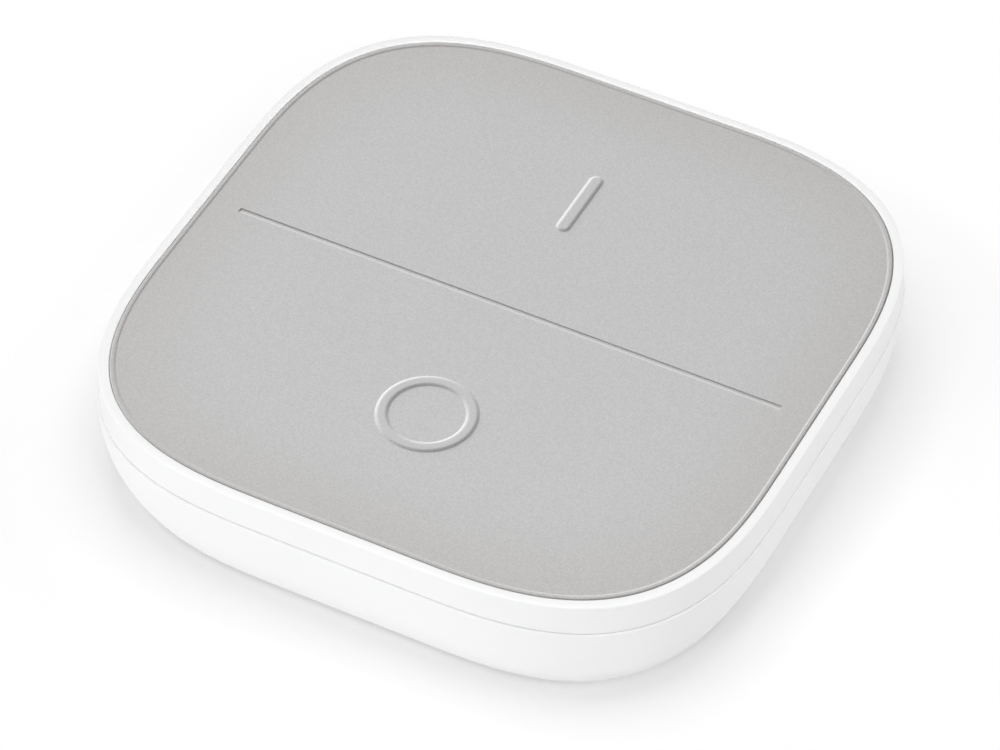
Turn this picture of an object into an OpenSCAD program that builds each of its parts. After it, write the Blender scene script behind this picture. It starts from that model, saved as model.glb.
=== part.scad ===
// Smart button: a low rounded-square box whose whole top is two soft keys, on (bar) and off (ring).
// Frame: +X along the fold line between the keys, +Y from the off key to the on key, +Z up.
// The origin is the middle of the footprint, on the surface that the feet stand on.

/* [Housing] */
// Width over the seam, where the body is widest
body_w = 80; // [78:1:96]
// Height of the upper housing above the seam
upper_h = 4.1; // [3.9:0.1:5]
// How far the rim's inner edge lies inside the seam's outline
rim_inset = 1.43; // [1.2:0.01:2]
// Width of the flat on top of the rim
rim_flat = 0.81; // [0.5:0.01:1.1]
// Radius that breaks the rim's outer edge
rim_edge = 0.3; // [0.1:0.05:0.5]
// Length of side that each corner curve takes, at the rim's inner edge
corner_extent = 29.7; // [24:0.1:34]
// Power of the corner curve: 2 is a circle, higher is squarer
corner_power = 2.9; // [2.2:0.05:3.6]
// Flat stretches that stand for one corner curve
corner_steps = 16; // [8:2:20]
// How far the base draws in from the seam to the bottom
base_taper = 2.95; // [2:0.05:4]
// Power of the curve by which the base draws in
taper_power = 2.2; // [1.5:0.1:3]
// Rounding of the base's bottom edge
base_edge = 0.6; // [0.3:0.1:1]
// Wall of the base cover
wall = 1.8; // [1.4:0.1:2.2]
// Floor of the base cover
floor_t = 1.5; // [1.3:0.1:2.5]
// Gap of the seam between the two housings
seam_gap = 0.2; // [0.15:0.05:0.3]
// Depth of the tongue that enters the base cover
tongue_h = 2; // [1.5:0.1:2.6]
// Thickness of the tongue
tongue_t = 1.2; // [0.8:0.1:1.6]
// Thickness of the deck under the keys
deck_t = 1; // [0.8:0.1:1.2]
// Thickness of the deck's ribs
rib_t = 0.8; // [0.6:0.1:1]
// Depth of the deck's ribs
rib_h = 1.2; // [0.6:0.1:1.4]
// Length of a friction bead on the tongue
bead_l = 12; // [6:0.5:14]
// How far a friction bead stands out of the tongue
bead_proud = 0.15; // [0.05:0.05:0.15]

/* [Feet and wall screws] */
// Diameter of a foot
foot_d = 9; // [6:0.5:12]
// Thickness of a foot
foot_t = 1; // [0.8:0.1:1.2]
// How far a foot stands out of the base
foot_proud = 0.4; // [0.3:0.1:0.6]
// Distance between foot centres, each way
foot_pitch = 48; // [40:1:52]
// Distance between the two wall screws
screw_pitch = 60; // [52:0.5:64]
// Hole for a wall screw
screw_hole_d = 4.4; // [3.5:0.1:5]
// Raised ring round a wall screw hole
screw_ring_d = 9; // [7:0.5:11]
// Height of that ring above the floor
screw_ring_h = 0.8; // [0.4:0.1:1.5]

/* [Keys] */
// Thickness of the soft pad
pad_t = 1; // [0.8:0.1:1.4]
// How far the pad's surface lies below the rim
pad_drop = 0.2; // [0.15:0.05:0.4]
// Gap between the pad and the rim
pad_clear = 0.15; // [0.1:0.05:0.3]
// Width of the raised lip round the pad
lip_w = 0.6; // [0.4:0.1:1]
// Height of that lip
lip_h = 0.15; // [0.05:0.05:0.15]
// Thickness of the stiff plate under a pad
plate_t = 1.1; // [0.9:0.1:1.5]
// How far a plate's edge lies inside its pad's edge
plate_inset = 0.4; // [0.2:0.1:1]
// Split between the two keys along the fold line
fold_gap = 0.2; // [0.2:0.05:0.4]
// Half length of the groove along the fold line
groove_half_l = 34.3; // [20:0.1:36]
// Width of the groove
groove_w = 0.6; // [0.45:0.05:1]
// Depth of the groove
groove_d = 0.3; // [0.2:0.1:0.7]
// Distance of both symbols from the fold line
symbol_y = 18.8; // [14:0.1:24]
// Width of the bar symbol
bar_w = 1.9; // [1:0.1:2.5]
// Length of the bar symbol
bar_l = 10.1; // [6:0.1:14]
// Outer diameter of the ring symbol
ring_d = 11.8; // [8:0.1:16]
// Width of the ring symbol
ring_w = 1.6; // [0.9:0.1:2]
// Height of both symbols above the pad
symbol_h = 0.2; // [0.2:0.05:0.5]

/* [Hinge] */
// Diameter of the hinge pin
pin_d = 1.6; // [1.2:0.1:1.6]
// Distance of the pin's axis below the plates
pin_drop = 0.9; // [0.9:0.05:1.1]
// Outside diameter of a hinge knuckle
knuckle_d = 3.2; // [3:0.1:3.4]
// Running clearance of a knuckle on the pin
hinge_clear = 0.05; // [0.02:0.01:0.08]
// Knuckles along the pin, shared by the two keys in turn
knuckle_count = 6; // [4:2:10]
// Gap between neighbouring knuckles, and round them
knuckle_gap = 0.3; // [0.2:0.05:0.5]
// Length of pin that each saddle holds
saddle_l = 4; // [3:0.5:6]
// Clearance of the pin in its saddles
saddle_clear = 0.02; // [0.01:0.01:0.05]
// Width of a hook that keeps a key from lifting
hook_w = 3.6; // [2.5:0.1:5]
// Thickness of a hook
hook_t = 1.2; // [0.8:0.1:1.5]
// Reach of a hook's barb under the deck
hook_reach = 0.7; // [0.5:0.1:1]
// Distance between the two hooks of a key
hook_pitch = 36; // [20:1:40]
// Distance of a hook from the pad's outer edge
hook_inset = 4.4; // [4:0.1:6]
// Clearance round a hook in its slot
hook_clear = 0.3; // [0.25:0.05:0.4]

/* [Battery] */
// Diameter of a cell
cell_d = 10.5; // [10:0.1:10.5]
// Length of a cell with its nub
cell_l = 44.5; // [40:0.1:44.5]
// Diameter of a cell's nub
nub_d = 3.8; // [3.2:0.1:4.5]
// Length of a cell's nub
nub_l = 1; // [0.8:0.1:1.2]
// Distance between the cells' axes
cell_pitch = 11.8; // [11.6:0.1:13]
// Gap under the cells
cell_floor_gap = 0.5; // [0.4:0.1:1]
// Gap between the cells and the key plates
cell_key_gap = 0.6; // [0.5:0.1:1]
// Clearance round a cell in its cradle
cell_clear = 0.2; // [0.15:0.05:0.4]
// Wall of the cradle
cradle_wall = 1.2; // [1:0.1:1.6]
// How far the cradle's arms reach below the cells' axes
cradle_wrap = 2.5; // [1.5:0.1:3]
// Thickness of the contact sheet
contact_t = 0.4; // [0.3:0.05:0.5]
// Width of a contact on one cell
contact_w = 8; // [6:0.1:9]
// Clearance of a contact in its slot
slot_clear = 0.1; // [0.05:0.05:0.2]
// Width of a contact's solder tab
tab_w = 3; // [2:0.1:3.4]
// Length of tab that lies under the board
tab_reach = 2.2; // [1:0.1:3]
// Length of a pressed contact spring
spring_l = 3; // [2.8:0.1:4]
// Wire of a contact spring
spring_wire = 0.5; // [0.4:0.05:0.6]
// Outer diameter of a spring at its foot
spring_foot_d = 6.9; // [6:0.1:7.5]
// Outer diameter of a spring at its tip
spring_tip_d = 3.7; // [3:0.1:4.2]
// Turns of a spring
spring_turns = 2.5; // [2:0.5:3]

/* [Circuit] */
// Thickness of the circuit board
board_t = 1.6; // [1:0.1:1.6]
// Half width of the circuit board
board_half = 33.5; // [32:0.5:35]
// Clearance round the cradle in the board's window
board_clear = 0.35; // [0.25:0.05:0.6]
// Distance of a switch from the fold line
switch_y = 18.8; // [17.5:0.1:24]
// Side of a switch
switch_w = 6; // [5:0.1:6.2]
// Height of a switch without its stem
switch_body_h = 3.5; // [3.1:0.1:3.6]
// Height of a switch to the top of its stem
switch_h = 4.3; // [4:0.1:4.6]
// Thickness of a switch's cover
cover_t = 0.3; // [0.2:0.05:0.4]
// Diameter of a stem
stem_d = 3.5; // [2.6:0.1:3.8]
// Clearance round a stem
stem_clear = 0.1; // [0.05:0.05:0.2]
// Travel of a stem
stem_travel = 0.25; // [0.15:0.05:0.3]
// Length of the post on a plate that meets the stem
plunger_l = 0.8; // [0.6:0.1:1.2]
// Diameter of that post
plunger_d = 4; // [3:0.1:5]
// Play between the post and the stem
plunger_gap = 0.1; // [0.05:0.05:0.15]
// Gap between the plates and the deck
deck_gap = 1; // [0.9:0.1:1.2]
// Width of the radio board
radio_w = 14; // [12:0.5:16]
// Length of the radio board
radio_l = 18; // [16:0.5:19]
// Thickness of the radio board
radio_t = 0.8; // [0.6:0.1:1]
// Height of the radio's shield
shield_h = 1.9; // [1.5:0.1:2]
// Place of the radio board's middle
radio_at = [-17, -24]; // [-26:0.5:26]
// Length of the radio board that the antenna takes
antenna_l = 5; // [4:0.1:6]
// Width of the antenna's trace
trace_w = 0.5; // [0.3:0.1:0.8]
// Place of the power converter
converter_at = [14, 24]; // [-26:0.5:26]
// Size of the power converter
converter_size = [5, 5, 0.9]; // [0.5:0.1:6]
// Place of the power inductor
inductor_at = [22, 21]; // [-26:0.5:26]
// Diameter of the power inductor
inductor_d = 5; // [3:0.1:6]
// Height of the power inductor
inductor_h = 2.2; // [1:0.1:2.4]
// Place of the clock crystal
crystal_at = [-13, 23]; // [-26:0.5:26]
// Size of the clock crystal
crystal_size = [3.2, 2.5, 0.8]; // [0.5:0.1:5]
// Place of the chip capacitor and chip resistor nearest the switch, on either side of it
chip_at = [9, 17]; // [8:0.5:20]
// Distance between chips in their row
chip_pitch = 3; // [2.5:0.1:3.5]
// Size of a chip capacitor
capacitor_size = [1.6, 0.9, 0.8]; // [0.4:0.1:2]
// Size of a chip resistor
resistor_size = [1.6, 0.9, 0.5]; // [0.4:0.1:2]
// Diameter of a board screw's shank
board_screw_d = 1.65; // [1.4:0.05:2]
// Diameter of a board screw's head
board_head_d = 3.8; // [3:0.1:4.4]
// Height of a board screw's head
board_head_h = 1.3; // [1:0.1:1.6]

/* [Hidden] */
$fn = 48;
eps = 0.01;
white = [0.95, 0.95, 0.94];
pad_grey = [0.75, 0.745, 0.735];
plate_grey = [0.62, 0.62, 0.62];
steel = [0.75, 0.76, 0.78];
board_green = [0.1, 0.38, 0.22];
black = [0.12, 0.12, 0.13];

// Heights, stacked up from the surface under the feet
base_z = foot_proud;
floor_z = base_z + floor_t;
cell_z = floor_z + cell_floor_gap + cell_d / 2;
key_z = cell_z + cell_d / 2 + cell_key_gap;
pad_z = key_z + plate_t;
surface_z = pad_z + pad_t;
rim_z = surface_z + pad_drop;
seam_z = rim_z - upper_h;
deck_z = key_z - deck_gap - deck_t;
deck_top = deck_z + deck_t;
tongue_z = seam_z - tongue_h;
pin_z = key_z - pin_drop;
stem_top = key_z - plunger_l - plunger_gap;
board_top = stem_top - switch_h;
board_z = board_top - board_t;

// Half widths, worked in from the seam
seam_half = body_w / 2;
rim_half = seam_half - rim_inset;
pad_half = rim_half - pad_clear;
plate_half = pad_half - plate_inset;
base_top_half = seam_half - wall;
tongue_clear = 0.2;
tongue_half = base_top_half - tongue_clear;
edge_break = 0.15;

// Battery bay
bay_half = (cell_l + spring_l) / 2;
cell_y = cell_pitch / 2;
bay_r = cell_d / 2 + cell_clear;
contact_out = bay_half + contact_t;
cradle_x = contact_out + slot_clear + cradle_wall;
cradle_y = cell_y + bay_r + cradle_wall;
cradle_z = cell_z - cradle_wrap;
cradle_top = deck_z - cell_clear;
rib_top = key_z - pin_drop - knuckle_d / 2 - knuckle_gap;
contact_low = cradle_z + 1;
contact_high = cell_z + contact_w / 2 - 1;
ear_t = 1.2;
ear_w = 4.6;
ear_x = cradle_x + 3.1;
ear_y = cradle_y - ear_w / 2;
boss_d = 4.6;
thread_d = board_screw_d + 0.05;
pass_d = board_screw_d + 0.75;
thread_l = deck_z - board_top - 0.4;

// Deck window and hinge
window_x = bay_half + 0.4;
window_y = cell_y + cell_d / 2 + 0.4;
row_half = window_x - knuckle_gap;
knuckle_step = 2 * row_half / knuckle_count;
hook_y = pad_half - hook_inset;
hook_z = deck_z - hook_clear - 0.9;
switch_slot = switch_w + 1.2;
inner_rib_y = cradle_y + rib_t + 0.6;
outer_rib_y = hook_y - hook_t / 2 - hook_clear - rib_t - 0.2;

// Switch insides
flange_d = stem_d + 0.9;
flange_t = 0.8;
chamber_d = flange_d + 0.4;
cover_z = board_top + switch_body_h - cover_t;
flange_z = cover_z - flange_t - stem_clear;
dome_h = 0.45;
chamber_z = flange_z - stem_travel - dome_h - stem_clear;
rivet_d = 0.9;
rivet_h = 0.15;
rivet_at = switch_w / 2 - rivet_d;
lead_w = 0.7;
lead_t = 0.2;
lead_l = 1.2;

// Boards and parts on them
shield_inset = 1.5;
trace_t = 0.07;
trace_edge = 1;
antenna_bends = 5;
chip_count = 5;

// Points of a rounded square of a given half width, anticlockwise
function outline(half) =
    let (extent = corner_extent + half - rim_half, straight = half - extent, power = 2 / corner_power)
    [for (quarter = [0:3]) for (step = [0:corner_steps])
        let (
            turn = 90 * step / corner_steps,
            x = straight + extent * pow(cos(turn), power),
            y = straight + extent * pow(sin(turn), power)
        )
        [[x, y], [-y, x], [-x, -y], [y, -x]][quarter]];

// Half width of the base cover's outside at a height
function base_half(z) =
    seam_half - base_taper * pow(max(0, seam_z - z) / (seam_z - base_z), taper_power);

// Upright block with the rounded-square outline
module block(half, z, h) {
    translate([0, 0, z]) linear_extrude(h) polygon(outline(half));
}

// Upright ring between two rounded-square outlines
module ring_block(outer, inner, z, h) {
    difference() {
        block(outer, z, h);
        block(inner, z - eps, h + 2 * eps);
    }
}

// Solid through rounded-square outlines, given as [half width, height] from the bottom up
module loft(levels) {
    count = len(outline(levels[0][0]));
    last = len(levels) - 1;
    sides = [for (level = [0:last - 1]) for (i = [0:count - 1])
        let (j = (i + 1) % count, low = level * count, high = low + count)
        each [[low + i, high + i, high + j], [low + i, high + j, low + j]]];
    polyhedron(
        points = [for (level = levels) for (point = outline(level[0])) [point[0], point[1], level[1]]],
        faces = concat(
            [[for (i = [0:count - 1]) i]],
            sides,
            [[for (i = [count - 1:-1:0]) last * count + i]]
        )
    );
}

// Cylinder along X, centred on its own middle
module rod(d, l) {
    rotate([0, 90, 0]) cylinder(d = d, h = l, center = true);
}

module at_four(x, y) {
    for (sx = [-1, 1]) for (sy = [-1, 1]) translate([sx * x, sy * y, 0]) children();
}

module at_quarters() {
    for (turn = [0:90:270]) rotate(turn) children();
}

// Base cover: the shell under the seam, with the wall screw holes and the feet's pockets
base_levels = 7;
seat_pitch = 24;
seat_w = 1.6;
seat_in = tongue_half - tongue_t - 1.4;
seat_top = tongue_z - 0.15;

module base_outside() {
    bottom_half = base_half(base_z + base_edge);
    top_z = seam_z - seam_gap;
    rise = top_z - edge_break - base_z - base_edge;
    loft(concat(
        [[bottom_half - base_edge, base_z], [bottom_half - 0.3 * base_edge, base_z + 0.3 * base_edge]],
        [for (step = [0:base_levels - 1])
            let (z = base_z + base_edge + rise * step / (base_levels - 1)) [base_half(z), z]],
        [[base_half(top_z) - edge_break, top_z]]
    ));
}

module base_inside(low, wall_left) {
    rise = seam_z + 1 - low;
    loft([for (step = [0:base_levels - 1])
        let (z = low + rise * step / (base_levels - 1)) [base_half(z) - wall_left, z]]);
}

// Ribs that the upper housing's tongue sits on, from the floor up, rooted in the wall
module seat_ribs() {
    intersection() {
        base_inside(floor_z - 0.2, 0.7 * wall);
        at_quarters() for (side = [-1, 1])
            translate([seat_in, side * seat_pitch / 2 - seat_w / 2, floor_z - 0.1])
                cube([seam_half - seat_in, seat_w, seat_top - floor_z + 0.1]);
    }
}

module base_cover() {
    color(white) difference() {
        union() {
            difference() {
                base_outside();
                base_inside(floor_z, wall);
            }
            seat_ribs();
            for (side = [-1, 1]) translate([side * screw_pitch / 2, 0, floor_z - eps])
                cylinder(d = screw_ring_d, h = screw_ring_h + eps);
        }
        for (side = [-1, 1]) translate([side * screw_pitch / 2, 0, base_z - eps])
            cylinder(d = screw_hole_d, h = floor_t + screw_ring_h + 2 * eps);
        at_four(foot_pitch / 2, foot_pitch / 2) translate([0, 0, base_z - eps])
            cylinder(d = foot_d + 2 * slot_clear, h = foot_t - foot_proud + eps);
    }
}

module feet() {
    color(plate_grey) at_four(foot_pitch / 2, foot_pitch / 2) cylinder(d = foot_d, h = foot_t);
}

// Upper housing: the rim, the deck with its windows, the tongue, the bosses and the pin's saddles
module upper_outside() {
    top_half = rim_half + rim_flat;
    low_z = seam_z;
    slope = (seam_half - top_half - rim_edge) / (rim_z - low_z);
    edge_z = rim_z - rim_edge;
    edge_half = seam_half - slope * (edge_z - low_z);
    loft([
        [seam_half - edge_break, low_z],
        [seam_half, low_z + edge_break],
        [edge_half, edge_z],
        [top_half + (edge_half - top_half) * 0.6, rim_z - 0.35 * rim_edge],
        [top_half, rim_z]
    ]);
}

module hook_slot() {
    translate([0, hook_y, deck_z + deck_t / 2])
        cube([hook_w + 2 * hook_clear, hook_t + 2 * hook_clear, deck_t + 2 * eps], center = true);
}

module saddle() {
    translate([window_x, -pin_d - 0.4, deck_top - eps])
        cube([saddle_l, 2 * pin_d + 0.8, pin_z + pin_d / 4 - deck_top]);
}

// Stiffening rib along X under the deck
module deck_rib(y, half_l) {
    translate([-half_l, y - rib_t / 2, deck_z - rib_h]) cube([2 * half_l, rib_t, rib_h + eps]);
}

// Half-round bead along the +X side of the tongue
module bead() {
    bead_r = 2 * bead_proud + 0.1;
    translate([tongue_half + bead_proud - bead_r, 0, tongue_z + tongue_h / 2])
        rotate([90, 0, 0]) cylinder(r = bead_r, h = bead_l, center = true);
}

module upper_housing() {
    color(white) difference() {
        union() {
            difference() {
                upper_outside();
                block(rim_half, deck_top, rim_z - deck_top + eps);
            }
            block(tongue_half, deck_z, deck_t);
            ring_block(tongue_half, tongue_half - tongue_t, tongue_z, deck_z - tongue_z + eps);
            at_four(ear_x, ear_y) translate([0, 0, board_top]) cylinder(d = boss_d, h = deck_z - board_top + eps);
            for (side = [-1, 1]) mirror([side < 0 ? 1 : 0, 0, 0]) saddle();
            for (side = [-1, 1]) {
                deck_rib(side * inner_rib_y, ear_x);
                deck_rib(side * outer_rib_y, hook_pitch / 2 - hook_w);
            }
            at_quarters() bead();
        }
        translate([-window_x, -window_y, deck_z - eps]) cube([2 * window_x, 2 * window_y, deck_t + 2 * eps]);
        for (side = [-1, 1]) translate([0, side * switch_y, deck_z + deck_t / 2])
            cube([switch_slot, switch_slot, deck_t + 2 * eps], center = true);
        for (sx = [-1, 1]) for (turn = [0, 180]) rotate(turn) translate([sx * hook_pitch / 2, 0, 0]) hook_slot();
        at_four(ear_x, ear_y) translate([0, 0, board_top - eps]) cylinder(d = thread_d, h = thread_l);
        translate([0, 0, pin_z]) rod(pin_d + 2 * saddle_clear, 2 * (window_x + saddle_l) + 2 * eps);
    }
}

module hinge_pin() {
    color(steel) translate([0, 0, pin_z]) rod(pin_d, 2 * (window_x + saddle_l));
}

// Half space on the +Y side of the fold line
module key_side(z, h) {
    translate([-body_w, fold_gap / 2, z]) cube([2 * body_w, body_w, h]);
}

module groove() {
    translate([-groove_half_l + groove_w / 2, -groove_w / 2, surface_z - groove_d])
        cube([2 * groove_half_l - groove_w, groove_w, groove_d + eps]);
    for (side = [-1, 1]) translate([side * (groove_half_l - groove_w / 2), 0, surface_z - groove_d])
        cylinder(d = groove_w, h = groove_d + eps);
}

// Radius of the round whose cap has a given width and height
function cap_r(width, height) = (pow(width / 2, 2) + pow(height, 2)) / (2 * height);

// Pad of the key on the +Y side, without its symbol
module plain_pad() {
    difference() {
        intersection() {
            union() {
                block(pad_half, pad_z, pad_t);
                ring_block(pad_half, pad_half - lip_w, pad_z, pad_t + lip_h);
            }
            key_side(pad_z, pad_t + lip_h + eps);
        }
        groove();
    }
}

module bar_symbol() {
    r = cap_r(bar_w, symbol_h);
    reach = bar_l / 2 - bar_w / 2;
    intersection() {
        translate([0, symbol_y, surface_z + symbol_h - r]) union() {
            rotate([90, 0, 0]) cylinder(r = r, h = 2 * reach, center = true);
            for (side = [-1, 1]) translate([0, side * reach, 0]) sphere(r = r);
        }
        translate([-bar_w, symbol_y - bar_l, surface_z - eps]) cube([2 * bar_w, 2 * bar_l, symbol_h + 2 * eps]);
    }
}

module ring_symbol() {
    r = cap_r(ring_w, symbol_h);
    translate([0, -symbol_y, surface_z]) rotate_extrude($fn = 96)
        translate([(ring_d - ring_w) / 2, 0]) intersection() {
            translate([0, symbol_h - r]) circle(r = r);
            translate([-ring_w, -eps]) square([2 * ring_w, symbol_h + 2 * eps]);
        }
}

module on_pad() {
    color(pad_grey) union() {
        plain_pad();
        bar_symbol();
    }
}

module off_pad() {
    color(pad_grey) union() {
        mirror([0, 1, 0]) plain_pad();
        ring_symbol();
    }
}

// Knuckles of one key: first is 0 or 1, and every second place along the pin is taken
module knuckles(first, d, l) {
    for (place = [first:2:knuckle_count - 1])
        translate([-row_half + (place + 0.5) * knuckle_step, 0, pin_z]) rod(d, l);
}

// Room for the other key's knuckles, cut right through the plate
module knuckle_room(first) {
    room = knuckle_d + 2 * knuckle_gap;
    for (place = [first:2:knuckle_count - 1])
        translate([-row_half + (place + 0.5) * knuckle_step, 0, pad_z - room / 2 + eps])
            cube([knuckle_step + knuckle_gap, room, room], center = true);
}

module key_hook() {
    translate([-hook_w / 2, hook_y - hook_t / 2, hook_z]) cube([hook_w, hook_t, key_z - hook_z + eps]);
    translate([-hook_w / 2, hook_y, hook_z]) cube([hook_w, hook_t / 2 + hook_reach, deck_z - hook_clear - hook_z]);
}

// Stiff plate of the key on the +Y side, whose first knuckle takes the given place
module plain_plate(first) {
    difference() {
        union() {
            intersection() {
                block(plate_half, key_z, plate_t);
                key_side(key_z - eps, plate_t + 2 * eps);
            }
            knuckles(first, knuckle_d, knuckle_step - knuckle_gap);
            translate([0, switch_y, key_z - plunger_l]) cylinder(d = plunger_d, h = plunger_l + eps);
            for (side = [-1, 1]) translate([side * hook_pitch / 2, 0, 0]) key_hook();
        }
        knuckle_room(1 - first);
        knuckles(first, pin_d + 2 * hinge_clear, knuckle_step);
    }
}

module on_key_plate() {
    color(plate_grey) plain_plate(0);
}

module off_key_plate() {
    color(plate_grey) rotate(180) plain_plate(0);
}

// Battery cradle: two bays open below, with ears that the board screws hold
module battery_cradle() {
    slot_t = contact_t + slot_clear;
    slot_w = contact_w + 2 * slot_clear;
    color(black) difference() {
        union() {
            translate([-cradle_x, -cradle_y, cradle_z]) cube([2 * cradle_x, 2 * cradle_y, cradle_top - cradle_z]);
            at_four(ear_x, ear_y) translate([0, 0, board_z - ear_t]) cylinder(d = ear_w, h = ear_t);
            for (sx = [-1, 1]) for (sy = [-1, 1]) translate([sx * (cradle_x + ear_x) / 2, sy * ear_y, board_z - ear_t / 2])
                cube([ear_x - cradle_x + eps, ear_w, ear_t], center = true);
        }
        for (side = [-1, 1]) translate([0, side * cell_y, cell_z]) rod(2 * bay_r, 2 * bay_half);
        translate([-window_x, -cell_y, rib_top]) cube([2 * window_x, 2 * cell_y, cradle_top]);
        translate([-bay_half - slot_t, -cell_y - slot_w / 2, contact_low - slot_clear])
            cube([slot_t + eps, 2 * cell_y + slot_w, cradle_top - contact_low + slot_clear + eps]);
        for (side = [-1, 1]) translate([bay_half - eps, side * cell_y - slot_w / 2, contact_low - slot_clear])
            cube([slot_t + eps, slot_w, cradle_top - contact_low + slot_clear + eps]);
        for (sx = [-1, 1]) for (sy = [-1, 1])
            translate([sx * cradle_x, sy * cell_y, board_z - contact_t / 2])
                cube([2 * cradle_wall + 1, tab_w + 2 * slot_clear, contact_t + 2 * slot_clear], center = true);
        at_four(ear_x, ear_y) translate([0, 0, board_z - ear_t - eps]) cylinder(d = pass_d, h = ear_t + 2 * eps);
    }
}

// One cell along X with its nub towards +X, its flat end at the origin
module cell() {
    can_l = cell_l - nub_l;
    shoulder = 0.6;
    rotate([0, 90, 0]) rotate_extrude() polygon([
        [0, 0], [cell_d / 2 - shoulder / 2, 0], [cell_d / 2, shoulder / 2], [cell_d / 2, can_l - shoulder],
        [cell_d / 2 - shoulder, can_l], [nub_d / 2, can_l], [nub_d / 2, cell_l - 0.2],
        [nub_d / 2 - 0.2, cell_l], [0, cell_l]
    ]);
}

module battery_cell_1() {
    color("seagreen") translate([spring_l - bay_half, cell_y, cell_z]) cell();
}

module battery_cell_2() {
    color("seagreen") translate([bay_half - spring_l, -cell_y, cell_z]) rotate(180) cell();
}

// Contact sheet at the +X end for the cell at a given Y, with its tab under the board
module contact_sheet(y, w) {
    translate([bay_half, y - w / 2, contact_low]) cube([contact_t, w, contact_high - contact_low]);
}

module contact_tab(y) {
    translate([bay_half, y - tab_w / 2, board_z - contact_t])
        cube([cradle_x + board_clear + tab_reach - bay_half, tab_w, contact_t]);
}

module positive_contact() {
    color(steel) union() {
        contact_sheet(cell_y, contact_w);
        contact_tab(cell_y);
    }
}

module negative_contact() {
    color(steel) union() {
        contact_sheet(-cell_y, contact_w);
        contact_tab(-cell_y);
    }
}

module link_contact() {
    color(steel) mirror([1, 0, 0]) union() {
        contact_sheet(0, 2 * cell_y + contact_w);
        contact_tab(cell_y);
    }
}

// Conical spring along X from the origin: one tube wound on a shrinking radius
spring_rings = 16;
spring_sides = 6;
spring_count = spring_turns * spring_rings;

function spring_place(i) =
    let (share = i / spring_count, foot_r = (spring_foot_d - spring_wire) / 2, tip_r = (spring_tip_d - spring_wire) / 2)
    [
        spring_wire / 2 + share * (spring_l - spring_wire),
        foot_r + share * (tip_r - foot_r),
        360 * i / spring_rings
    ];

function spring_point(i, side) =
    let (
        place = spring_place(i),
        lean = 360 * side / spring_sides,
        r = place[1] + spring_wire / 2 * cos(lean),
        x = place[0] + spring_wire / 2 * sin(lean)
    )
    [x, r * cos(place[2]), r * sin(place[2])];

// Least distance between turns, from wire surface to wire surface
function spring_least_gap() =
    min([for (i = [0:spring_count - spring_rings])
        let (a = spring_place(i), b = spring_place(i + spring_rings))
        norm([b[0] - a[0], b[1] - a[1]]) - spring_wire]);

module spring() {
    sides = [for (i = [0:spring_count - 1]) for (s = [0:spring_sides - 1])
        let (t = (s + 1) % spring_sides, near = i * spring_sides, far = near + spring_sides)
        each [[near + s, near + t, far + t], [near + s, far + t, far + s]]];
    polyhedron(
        points = [for (i = [0:spring_count]) for (s = [0:spring_sides - 1]) spring_point(i, s)],
        faces = concat(
            [[for (s = [spring_sides - 1:-1:0]) s]],
            sides,
            [[for (s = [0:spring_sides - 1]) spring_count * spring_sides + s]]
        )
    );
}

module negative_spring() {
    echo(str("least gap between the spring's turns: ", spring_least_gap(), " mm"));
    color(steel) translate([bay_half, -cell_y, cell_z]) mirror([1, 0, 0]) spring();
}

module link_spring() {
    color(steel) translate([-bay_half, cell_y, cell_z]) spring();
}

// Circuit board: a frame round the battery cradle
module circuit_board() {
    color(board_green) difference() {
        block(board_half, board_z, board_t);
        translate([-cradle_x - board_clear, -cradle_y - board_clear, board_z - eps])
            cube([2 * (cradle_x + board_clear), 2 * (cradle_y + board_clear), board_t + 2 * eps]);
        at_four(ear_x, ear_y) translate([0, 0, board_z - eps]) cylinder(d = pass_d, h = board_t + 2 * eps);
    }
}

module board_screws() {
    seat_z = board_z - ear_t;
    shank_l = ear_t + board_t + thread_l - 0.2;
    color(steel) at_four(ear_x, ear_y) translate([0, 0, seat_z]) difference() {
        union() {
            translate([0, 0, -board_head_h / 2]) cylinder(d = board_screw_d, h = shank_l + board_head_h / 2);
            translate([0, 0, -board_head_h]) cylinder(d = board_head_d, h = board_head_h);
        }
        for (turn = [0, 90]) rotate(turn) translate([-0.9, -0.25, -board_head_h - eps]) cube([1.8, 0.5, 0.7]);
    }
}

// Switch pieces, placed by the side of the fold line that they stand on
module switch_base(side) {
    color(black) translate([0, side * switch_y, 0]) difference() {
        translate([-switch_w / 2, -switch_w / 2, board_top]) cube([switch_w, switch_w, cover_z - board_top]);
        translate([0, 0, chamber_z]) cylinder(d = chamber_d, h = cover_z - chamber_z + eps);
    }
}

module switch_cover(side) {
    color(steel) translate([0, side * switch_y, cover_z]) difference() {
        union() {
            translate([-switch_w / 2, -switch_w / 2, 0]) cube([switch_w, switch_w, cover_t]);
            at_four(rivet_at, rivet_at) cylinder(d = rivet_d, h = cover_t + rivet_h);
        }
        translate([0, 0, -eps]) cylinder(d = stem_d + 2 * stem_clear, h = cover_t + 2 * eps);
    }
}

module switch_dome(side) {
    dome_d = chamber_d - 2 * stem_clear;
    r = cap_r(dome_d, dome_h);
    dome_t = 0.1;
    color(steel) translate([0, side * switch_y, chamber_z]) rotate_extrude() intersection() {
        translate([0, dome_h - r]) difference() {
            circle(r = r, $fn = 180);
            circle(r = r - dome_t, $fn = 180);
        }
        square([dome_d, dome_h + eps]);
    }
}

module switch_stem(side) {
    color(black) translate([0, side * switch_y, 0]) union() {
        translate([0, 0, flange_z]) cylinder(d = flange_d, h = flange_t);
        translate([0, 0, flange_z]) cylinder(d = stem_d, h = stem_top - flange_z);
    }
}

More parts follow.
